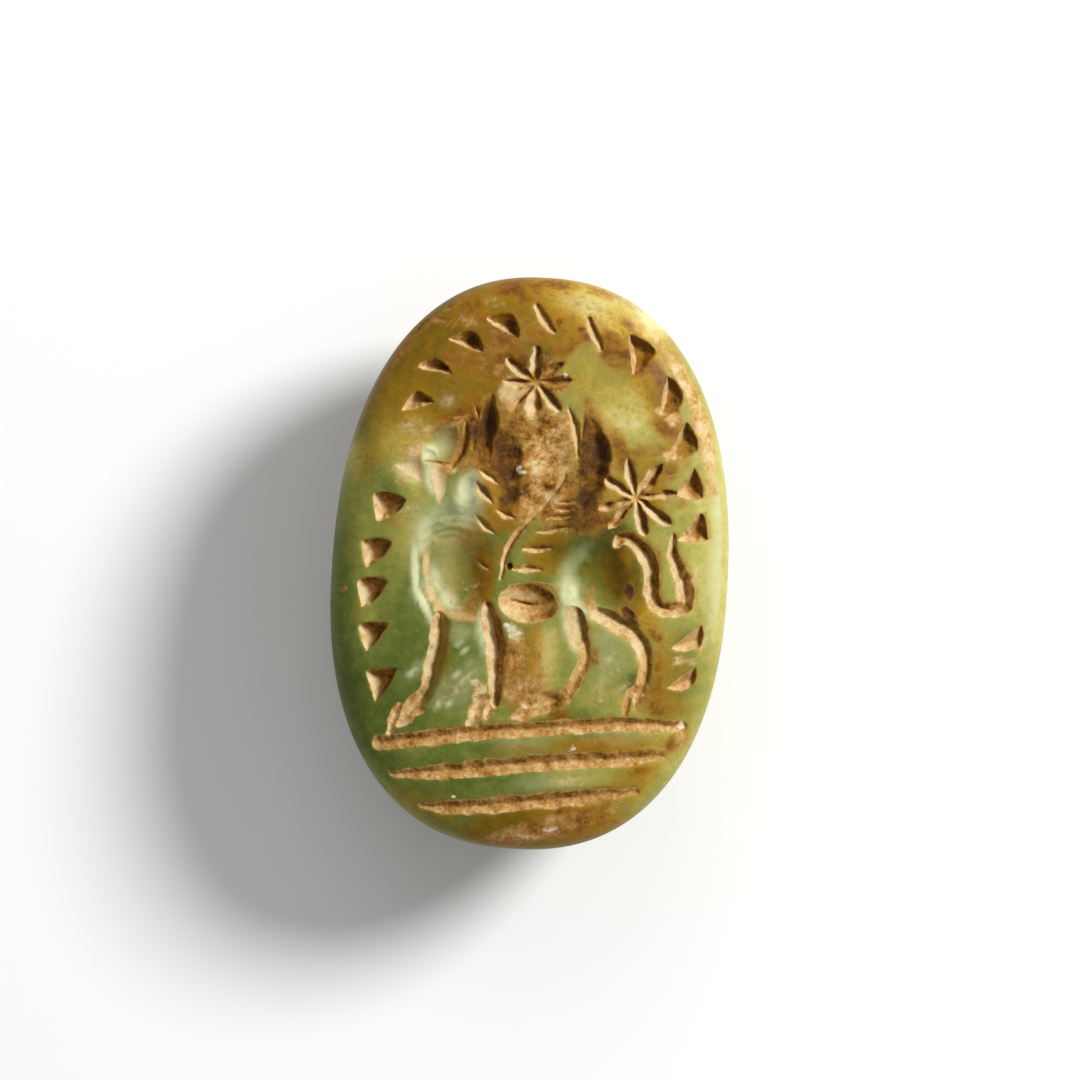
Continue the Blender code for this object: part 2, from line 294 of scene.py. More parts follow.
@dataclass(frozen=True)
class Wedge(Cut):
    """A three-cornered cut. Its first and last corner end the straight wall that faces the light.

    Attributes:
        corners: Where the walls meet the face, clockwise.
        lit_width: How far the deepest point lies inside the straight wall's edge.
        along: Where it lies along that edge, 0 at the first corner and 1 at the last.
        depth: How deep it is.
        bulge: How far the other two walls stand out over a straight line.
    """

    corners: tuple[tuple[float, float], ...]
    lit_width: float = 0.36
    along: float = 0.62
    depth: float = 0.75
    bulge: float = 0.16

    def extent(self) -> tuple[Points, float]:
        """Return the corners, with room for the bulge."""
        return np.array(self.corners), 0.5

    def deepest(self) -> Points:
        """Return the point over the bottom of the cut."""
        first, _, last = np.array(self.corners)
        run = last - first
        inward = np.array([-run[1], run[0]]) / np.linalg.norm(run)
        return first + run * self.along + inward * self.lit_width

    def raw_depth(self, x: Points, y: Points) -> Points:
        """Return the least of the depths that the three walls give."""
        straight_bulge = 0.04
        soft = 0.07
        walls = []
        bottom = self.deepest()
        for index, (x0, y0) in enumerate(self.corners):
            x1, y1 = self.corners[(index + 1) % 3]
            run = np.array([x1 - x0, y1 - y0])
            length = np.linalg.norm(run)
            normal = np.array([run[1], -run[0]]) / length
            bulge = straight_bulge if index == 2 else self.bulge
            share = np.clip(((x - x0) * run[0] + (y - y0) * run[1]) / length**2, 0.0, 1.0)
            inward = (x - x0) * normal[0] + (y - y0) * normal[1] + bulge * 4 * share * (1 - share)
            full = normal @ (bottom - (x0, y0)) + bulge
            walls.append(np.clip(inward / full, -2.0, 3.0))
        shallowest = np.min(walls, axis=0)
        rounded = -soft * np.log(np.sum(np.exp((shallowest - walls) / soft), axis=0)) + shallowest
        within = np.clip(rounded / (1.0 - soft * math.log(3.0)), 0.0, 1.0)
        outside = 2.0 * np.maximum(rounded, -0.4)
        return self.depth * np.where(rounded > 0, 1 - (1 - within) ** 2.0, outside)


def alike(kind: type[Cut], look: dict[str, float], *rows: tuple) -> list[Cut]:
    """Return cuts of one kind that look alike.

    Args:
        kind: Their class.
        look: The settings that they share.
        rows: For each one its own settings, in the order of the class.

    Returns:
        The cuts in that order.
    """
    return [kind(*row, **look) for row in rows]


def star(centre: tuple[float, float], tips: tuple[tuple[float, ...], ...]) -> list[Cut]:
    """Cut one star.

    Args:
        centre: Its middle.
        tips: The tip of each ray, half its width and, where they are its own, its steepness and skew.

    Returns:
        A groove for each ray, and a shallow hollow where they meet.
    """
    look = {"tone": 0.4, "glint": 0.36, "shade": 0.5, "clay_in_shade": 0.9, "ochre": 0.9}
    usual_steepness_and_skew = (1.6, 0.12)
    cuts: list[Cut] = []
    for x, y, half_width, *own in tips:
        steepness, skew = own or usual_steepness_and_skew
        run_x, run_y = x - centre[0], y - centre[1]
        shares = (0.0, 0.5, 0.85, 1.0)
        path = tuple((centre[0] + run_x * share, centre[1] + run_y * share) for share in shares)
        widths = (half_width * 0.45, half_width * 0.95, half_width * 0.85, 0.08)
        cuts.append(Groove(path, widths, steepness, 1.05, 0.16, skew, **look))
    cuts.append(Dish(centre, (0.4, 0.4, 0.4, 0.4), 0.3, tone=0.4, clay_in_shade=0.8))
    return cuts


def pointed_border() -> list[Cut]:
    """Return the triangular cuts round the edge of the face."""
    brown = {"tone": 0.48, "shade": 0.26, "glint": 0.44, "clay_in_shade": 0.85, "ochre": 0.5, "grit": 0.6}
    amber = {"tone": 0.5, "shade": 0.36, "glint": 0.42, "clay": 1.0, "clay_in_shade": 0.3, "ochre": 0.9, "grit": 0.6}
    rusty = {"tone": 0.55, "shade": 0.3, "glint": 0.4, "clay_in_shade": -0.3, "ochre": 1.3, "grit": 0.5}
    slim = {"tone": 0.35, "shade": 0.4, "glint": 0.2, "clay_in_shade": 0.6, "ochre": 1.1, "skew": 0.25}
    cream = {"tone": 0.06, "shade": 0.16, "glint": 0.05, "clay": 0.9, "clay_in_shade": 0.8, "ochre": 0.2}
    pale = {"tone": 0.3, "shade": 0.45, "glint": 0.2, "depth": 0.5, "clay_in_shade": 0.8}
    return [
        *alike(
            Wedge, brown,
            (((-7.98, -5.95), (-6.38, -5.75), (-7.38, -7.5)), 0.8, 0.55, 0.8, 0.1),
            (((-8.5, -3.7), (-6.96, -3.48), (-8.0, -5.02)), 0.78, 0.55, 0.75, 0.12),
            (((-8.68, -1.45), (-7.12, -1.4), (-8.35, -2.82)), 0.7, 0.55, 0.75, 0.2),
            (((-8.6, 0.5), (-7.05, 0.52), (-8.28, -0.82)), 0.7, 0.55, 0.75, 0.2),
            (((-8.12, 2.9), (-6.42, 2.68), (-7.9, 1.48)), 0.75, 0.5, 0.8, 0.22),
        ),
        Wedge(((-7.3, 4.3), (-5.9, 4.8), (-5.75, 3.5)), 0.55, 0.5, 0.22, 0.16, **cream),
        *alike(
            Wedge, amber,
            (((-7.02, 7.05), (-6.3, 8.1), (-5.35, 7.6)), 0.45, 0.6, 0.6, 0.12),
            (((-6.35, 9.3), (-5.5, 9.85), (-4.62, 9.08)), 0.3, 0.75, 0.65, 0.12),
            (((-4.98, 10.82), (-3.6, 11.25), (-3.12, 10.2)), 0.3, 0.75, 0.7, 0.14),
            (((-3.12, 11.92), (-1.85, 12.25), (-1.38, 11.0)), 0.3, 0.75, 0.75, 0.2),
        ),
        *alike(
            Groove, slim,
            (((-0.5, 12.7), (-0.15, 12.1), (0.35, 11.55)), (0.22, 0.25, 0.16), 1.4, 1.4),
            (((2.1, 12.2), (2.4, 11.55), (2.75, 10.8)), (0.2, 0.24, 0.16), 1.4, 1.4),
        ),
        *alike(
            Wedge, rusty,
            (((4.08, 11.62), (5.5, 10.85), (4.42, 9.58)), 0.26, 0.4, 0.8),
            (((6.12, 9.6), (7.0, 8.5), (5.82, 7.6)), 0.26, 0.35, 0.7, 0.24),
            (((7.22, 7.42), (7.88, 6.0), (6.3, 5.5)), 0.25, 0.3, 0.75, 0.2),
            (((7.75, 5.15), (8.28, 3.65), (6.9, 3.75)), 0.3, 0.35, 0.75, 0.14),
            (((8.25, 2.98), (8.68, 1.6), (7.1, 1.48)), 0.42, 0.35, 0.65, 0.1),
        ),
        *alike(
            Wedge, pale,
            (((8.6, -2.6), (8.5, -3.85), (7.15, -3.88)), 0.5, 0.35),
            (((8.4, -4.75), (8.32, -5.75), (7.05, -5.85)), 0.45, 0.35),
        ),
    ]


def upper_star() -> list[Cut]:
    """Return the star over the wing."""
    return star(
        (-0.38, 8.95),
        (
            (-0.45, 10.72, 0.36), (-1.9, 9.98, 0.3), (-2.0, 8.85, 0.22), (-1.5, 7.4, 0.34),
            (-0.36, 7.2, 0.5, 0.6, 0.3), (0.9, 7.58, 0.32), (1.35, 9.1, 0.26), (0.9, 10.0, 0.24),
        ),
    )


def lower_star() -> list[Cut]:
    """Return the star behind the wing."""
    return star(
        (4.95, 3.5),
        (
            (4.42, 5.4, 0.28), (6.15, 5.25, 0.34), (7.1, 3.85, 0.24), (6.75, 2.3, 0.31), (5.5, 1.68, 0.3),
            (3.75, 1.95, 0.25), (3.12, 2.85, 0.26), (3.35, 4.35, 0.26),
        ),
    )


def ground_lines() -> list[Cut]:
    """Return the three lines that the creature stands on."""
    look = {"steepness": 0.8, "fullness": 1.4, "lumps": 0.07, "fade": 0.8}
    look |= {"tone": 0.46, "glint": 0.2, "shade": 0.18, "clay_in_shade": 0.8, "ochre": 0.7, "grit": 0.75}
    return [
        *alike(
            Groove, look,
            (
                ((-7.0, -9.45), (-5.0, -9.12), (-2.0, -8.6), (1.0, -8.25), (4.5, -7.82), (8.0, -7.72)),
                (0.4, 0.42, 0.42, 0.4, 0.4, 0.34),
            ),
            (
                ((-6.3, -11.0), (-4.0, -10.72), (-1.0, -10.25), (2.0, -9.82), (5.0, -9.52), (7.0, -9.25)),
                (0.2, 0.42, 0.46, 0.45, 0.42, 0.2),
            ),
            (
                ((-4.75, -12.5), (-3.0, -12.45), (0.0, -12.02), (3.0, -11.58), (5.9, -11.1)),
                (0.18, 0.4, 0.44, 0.42, 0.22),
            ),
        ),
    ]


def limbs() -> list[Cut]:
    """Return the four legs, their paws and the tail."""
    section = {"steepness": 1.4, "fullness": 1.25, "fade": 0.9, "lumps": 0.045}
    leg = section | {"tone": 0.38, "glint": 0.3, "shade": 0.36, "clay_in_shade": 0.75, "ochre": 0.7, "grit": 0.55}
    fore = leg | {"clay_in_shade": 0.0, "ochre": 0.3, "skew": 0.0}
    hind = leg | {"steepness": 0.8, "shade": 0.24, "clay_in_shade": 0.1, "ochre": 0.9, "skew": 0.25}
    shank = leg | {"steepness": 0.75, "shade": 0.24, "skew": 0.3}
    thigh = leg | {"steepness": 0.7, "skew": 0.4, "clay": 0.5, "clay_in_shade": 0.6}
    thigh |= {"tone": 0.1, "glint": 0.1, "shade": 0.7}
    tail = leg | {"lumps": 0.08, "ochre": 1.1, "grit": 0.6}
    paw = {"steepness": 0.8, "fullness": 1.4, "lumps": 0.1}
    paw |= {"tone": 0.34, "glint": 0.22, "shade": 0.16, "clay_in_shade": 0.8, "grit": 0.8}
    return [
        Groove(
            (
                (-4.38, -2.9), (-4.34, -3.5), (-4.4, -4.5), (-4.58, -5.5), (-4.7, -6.4), (-5.0, -7.05),
                (-5.5, -7.6),
            ),
            (0.4, 0.5, 0.5, 0.5, 0.46, 0.44, 0.3), **fore,
        ),
        Groove(
            ((-2.05, -2.35), (-1.81, -3.1), (-1.5, -4.1), (-1.46, -5.2), (-1.4, -6.3), (-1.45, -7.1)),
            (0.3, 0.5, 0.56, 0.48, 0.4, 0.36), **leg,
        ),
        Groove(((2.46, -2.4), (2.62, -3.1), (2.72, -3.7)), (0.56, 0.64, 0.54), **thigh),
        Groove(
            ((2.74, -3.6), (2.98, -4.2), (2.94, -4.8), (2.62, -5.7), (2.2, -6.55)),
            (0.5, 0.4, 0.37, 0.34, 0.3), **shank,
        ),
        Groove(
            (
                (3.5, -2.25), (4.5, -2.72), (5.36, -3.22), (5.86, -3.9), (6.02, -4.8), (5.96, -5.5),
                (5.85, -6.1),
            ),
            (0.56, 0.54, 0.5, 0.47, 0.4, 0.37, 0.32), **hind,
        ),
        Groove(
            (
                (4.1, 1.07), (4.42, 1.44), (4.98, 1.38), (5.7, 0.7), (6.02, -0.1), (6.05, -1.1),
                (6.45, -1.82), (7.2, -1.98), (7.75, -1.6), (7.72, -0.85), (7.4, 0.0), (7.0, 0.75),
                (6.98, 1.7),
            ),
            (0.2, 0.34, 0.42, 0.46, 0.44, 0.42, 0.38, 0.38, 0.44, 0.48, 0.4, 0.34, 0.16), **tail,
        ),
        *alike(
            Groove, paw,
            (((-4.95, -6.9), (-5.45, -7.6), (-6.05, -8.35)), (0.34, 0.5, 0.36)),
            (((-6.1, -7.55), (-6.35, -8.1), (-6.55, -8.9)), (0.18, 0.3, 0.24)),
            (((-1.7, -6.9), (-2.2, -7.35), (-2.6, -8.2)), (0.32, 0.4, 0.26)),
            (((-1.5, -7.0), (-1.65, -7.4), (-1.75, -7.9)), (0.34, 0.34, 0.16)),
            (((2.05, -6.5), (1.2, -6.9), (0.3, -7.2)), (0.34, 0.5, 0.36)),
            (((0.9, -7.2), (0.2, -7.55), (-0.4, -7.7)), (0.36, 0.38, 0.2)),
            (((5.86, -5.95), (5.62, -6.4), (5.55, -6.95)), (0.36, 0.26, 0.1)),
            (((5.6, -6.0), (5.22, -6.4), (5.1, -7.3)), (0.26, 0.26, 0.18)),
        ),
    ]


def tool_arcs() -> list[Cut]:
    """Return the faint arcs that the wheel left round the chest."""
    look = {"steepness": 0.5, "fullness": 1.2, "over": True}
    look |= {"clay": 0.5, "clay_in_shade": 0.2, "tone": 0.25, "glint": 0.1, "shade": 0.2, "ochre": 0.3, "grit": 0.6}
    centre_x, centre_y = -3.75, -0.9
    inner_arcs = ((1.0, 200, 300), (1.25, 265, 345), (1.5, 255, 330))
    outer_arcs = ((1.9, 95, 150), (2.25, 80, 150), (2.6, 70, 135), (2.95, 75, 120))
    arcs: list[Cut] = []
    for radius, first, last in inner_arcs + outer_arcs:
        angles = np.radians(np.linspace(first, last, 5))
        path = tuple((centre_x + radius * math.cos(a), centre_y + radius * math.sin(a)) for a in angles)
        arcs.append(Groove(path, (0.04, 0.09, 0.1, 0.09, 0.04), **look))
    return arcs


def body() -> list[Cut]:
    """Return the hollows of the chest, belly and haunch, with the ribs."""
    clean = {"clay": 0.0, "clay_in_shade": 0.0, "ochre": 0.0}
    rib = {"over": True, "steepness": 1.5, "fullness": 1.0, "lumps": 0.03}
    rib |= {"tone": 0.36, "glint": 0.25, "shade": 0.4, "clay_in_shade": 0.5}
    pit = {"over": True, "clay": 1.0, "clay_in_shade": 1.0, "tone": 1.0, "glint": 0.1, "shade": 0.0}
    soil = {"tone": 0.55, "glint": 0.5, "shade": 0.35, "clay_in_shade": 0.9, "grit": 0.6}
    return [
        *alike(
            Dish, clean,
            ((-4.0, -0.6), (1.9, 3.2, 1.87, 2.68), 0.85, (0.6, 1.0, 0.0, 0.1)),
            ((-3.6, 1.9), (1.3, 1.2, 1.9, 1.6), 0.3, (1.0, 1.0, 1.0, 1.0)),
            ((-3.45, 3.4), (0.65, 1.2, 0.9, 1.5), 0.32, (0.8, 1.0, 0.7, 1.0)),
            ((3.1, -0.6), (1.85, 1.85, 1.9, 1.9), 0.95, (0.2, 0.6, 0.1, 0.4)),
            ((0.5, 0.3), (1.6, 1.8, 1.7, 1.4), 0.25, (1.0, 1.0, 1.0, 1.0)),
        ),
        Dish((-0.15, -2.1), (1.6, 1.05, 1.45, 1.0), 0.6, (0.1, 0.1, 0.1, 0.1), -3, **soil),
        Groove(((-0.9, -2.0), (-0.2, -2.1), (0.35, -2.12)), (0.06, 0.1, 0.05), 1.6, tone=0.7, over=True),
        *alike(
            Groove, rib,
            (((-0.5, 0.58), (0.2, 0.66), (0.9, 0.74)), (0.1, 0.24, 0.1)),
            (((-0.88, -0.4), (-0.25, -0.36), (0.42, -0.36)), (0.1, 0.22, 0.1)),
            (((0.15, 1.5), (0.9, 1.65), (1.65, 1.85)), (0.06, 0.2, 0.06)),
            (((0.6, 2.2), (1.2, 2.28), (1.75, 2.35)), (0.06, 0.12, 0.05)),
            (((1.0, 2.62), (1.5, 2.68), (1.95, 2.75)), (0.05, 0.12, 0.05)),
            (((1.1, 3.0), (1.5, 3.05), (1.95, 3.1)), (0.05, 0.11, 0.05)),
        ),
        *alike(
            Dish, pit,
            ((-1.12, -0.3), (0.18, 0.2, 0.18, 0.22), 0.3),
            ((4.9, -2.25), (0.65, 0.26, 0.45, 0.24), 0.16, (0.6, 0.6, 0.6, 0.6), -35),
            ((4.88, -1.15), (0.24, 0.42, 0.24, 0.42), 0.1, (0.6, 0.6, 0.6, 0.6)),
        ),
        Groove(((-2.65, -0.2), (-2.4, -0.36), (-2.1, -0.5)), (0.05, 0.12, 0.05), **rib),
        *tool_arcs(),
    ]


def wing() -> list[Cut]:
    """Return the raised wing, its feathers and the shoulder line."""
    stroke = {"over": True, "steepness": 1.4, "fullness": 1.0, "lumps": 0.1}
    stroke |= {"tone": 0.36, "glint": 0.28, "shade": 0.45, "clay_in_shade": 0.5}
    faint = stroke | {"tone": 0.5, "glint": 0.2, "shade": 0.3}
    bare = {"clay": 0.0, "clay_in_shade": 0.0, "ochre": 0.5, "grit": 0.9}
    return [
        *alike(
            Dish, bare,
            ((0.5, 5.4), (1.7, 2.2, 1.7, 2.3), 0.3, (0.8, 0.5, 0.8, 1.0)),
            ((0.2, 3.4), (1.2, 1.5, 1.4, 1.7), 0.22, (1.0, 0.3, 0.6, 1.0), 20),
            ((-1.6, 5.2), (0.9, 1.7, 1.5, 2.6), 0.5, (0.5, 0.7, 1.0, 0.8), 12),
            ((-1.35, 3.1), (0.6, 1.0, 0.9, 0.9), 0.35, (0.5, 0.7, 0.9, 0.8), 10),
        ),
        *alike(
            Groove, bare,
            (
                ((-2.5, 8.1), (-2.52, 7.3), (-2.6, 6.5), (-2.6, 5.7), (-2.4, 4.9)),
                (0.1, 0.4, 0.5, 0.46, 0.2), 1.3, 1.6, 0.1,
            ),
            (
                ((-2.0, 6.2), (-1.75, 5.4), (-1.4, 4.6), (-1.2, 3.8), (-1.15, 3.0)),
                (0.3, 0.5, 0.56, 0.46, 0.24), 0.9, 1.6, 0.15,
            ),
            (
                ((2.6, 7.1), (2.85, 6.3), (3.0, 5.6), (2.95, 4.8), (2.75, 4.0), (2.35, 3.0)),
                (0.1, 0.46, 0.62, 0.6, 0.5, 0.28), 1.0, 1.6, 0.1,
            ),
        ),
        *alike(
            Groove, stroke,
            (
                (
                    (1.4, 4.3), (0.85, 3.4), (0.3, 2.65), (-0.4, 1.85), (-0.98, 1.1), (-1.3, 0.3),
                    (-1.52, -0.9),
                ),
                (0.08, 0.17, 0.19, 0.18, 0.22, 0.21, 0.1),
            ),
            (((1.35, 7.75), (1.78, 6.7), (1.92, 5.3)), (0.08, 0.22, 0.1)),
        ),
        *alike(
            Groove, faint,
            (((2.12, 7.5), (2.12, 6.9), (2.05, 6.3)), (0.06, 0.1, 0.05)),
            (((2.5, 7.2), (2.42, 6.7), (2.3, 6.2)), (0.06, 0.09, 0.05)),
        ),
        *alike(
            Groove, stroke,
            (((-2.9, 4.35), (-2.45, 4.1), (-1.95, 3.75)), (0.06, 0.2, 0.06)),
            (((-2.98, 3.75), (-2.65, 3.25), (-2.2, 2.78)), (0.1, 0.3, 0.08)),
            (((-1.9, 2.45), (-1.5, 2.25), (-1.05, 2.12)), (0.08, 0.22, 0.06)),
            (((-2.9, 2.1), (-2.5, 1.65), (-2.0, 1.28)), (0.06, 0.24, 0.06)),
            (((-3.3, 7.5), (-3.2, 7.2), (-3.12, 6.9)), (0.06, 0.14, 0.06)),
        ),
    ]


def head() -> list[Cut]:
    """Return a plain capped and bearded head in profile."""
    clean = {"clay": 0.0, "clay_in_shade": 0.0, "ochre": 0.1, "grit": 0.6}
    soft = {"over": True, "steepness": 1.1, "fullness": 1.3, "clay": 0.75, "clay_in_shade": 0.8, "ochre": 0.9}
    soft |= {"tone": 0.62, "glint": 0.2, "shade": 0.3, "grit": 0.4}
    beard = {"clay": 0.9, "clay_in_shade": 0.9, "tone": 0.03, "glint": 0.0, "shade": 0.16, "ochre": 0.1}
    return [
        *alike(
            Dish, clean,
            ((-4.65, 5.6), (0.95, 1.15, 1.1, 1.0), 0.5, (0.4, 0.7, 0.1, 0.5), 20),
            ((-5.3, 5.05), (0.52, 0.56, 0.5, 0.5), 0.34, (0.9, 0.8, 0.3, 0.5)),
        ),
        Groove(
            ((-5.0, 4.75), (-4.95, 4.2), (-4.86, 3.7), (-4.78, 3.2), (-4.85, 2.6)),
            (0.2, 0.42, 0.38, 0.3, 0.1), 0.4, 1.8, **beard,
        ),
        *alike(
            Groove, soft,
            (
                ((-3.72, 6.7), (-3.72, 5.9), (-3.86, 5.2), (-4.2, 4.6), (-4.4, 4.35)),
                (0.14, 0.24, 0.24, 0.2, 0.1),
            ),
            (((-3.2, 6.8), (-3.22, 6.1), (-3.3, 5.4)), (0.1, 0.18, 0.08)),
            (((-5.65, 4.7), (-4.9, 4.62), (-4.3, 4.62)), (0.05, 0.1, 0.08)),
        ),
    ]


@dataclass(frozen=True)
class Patch:
    """A soft-edged patch of one colouring on the face.

    Attributes:
        soil: What it is.
        centre: Its middle.
        half_sizes: Half its length and half its width.
        turn: Where its long side points, in degrees.
        strength: How strong it is in the middle.
        tone: For earth, how dark it is, and for grit, how coarse.
    """

    soil: Soil
    centre: tuple[float, float]
    half_sizes: tuple[float, float]
    turn: float
    strength: float
    tone: float = 0.3

    def at(self, x: Points, y: Points) -> Points:
        """Return the patch's strength at each point."""
        along, across = turned(x - self.centre[0], y - self.centre[1], self.turn)
        out = (along / self.half_sizes[0]) ** 2 + (across / self.half_sizes[1]) ** 2
        return self.strength * np.exp(-(out**1.5))


def marks(soil: Soil, *rows: tuple[float, ...]) -> list[Patch]:
    """Return patches of one kind.

    Args:
        soil: What they are.
        rows: For each one its x, y, half length, half width, turn, strength and, for some, tone.

    Returns:
        The patches in that order.
    """
    return [Patch(soil, row[:2], row[2:4], *row[4:]) for row in rows]


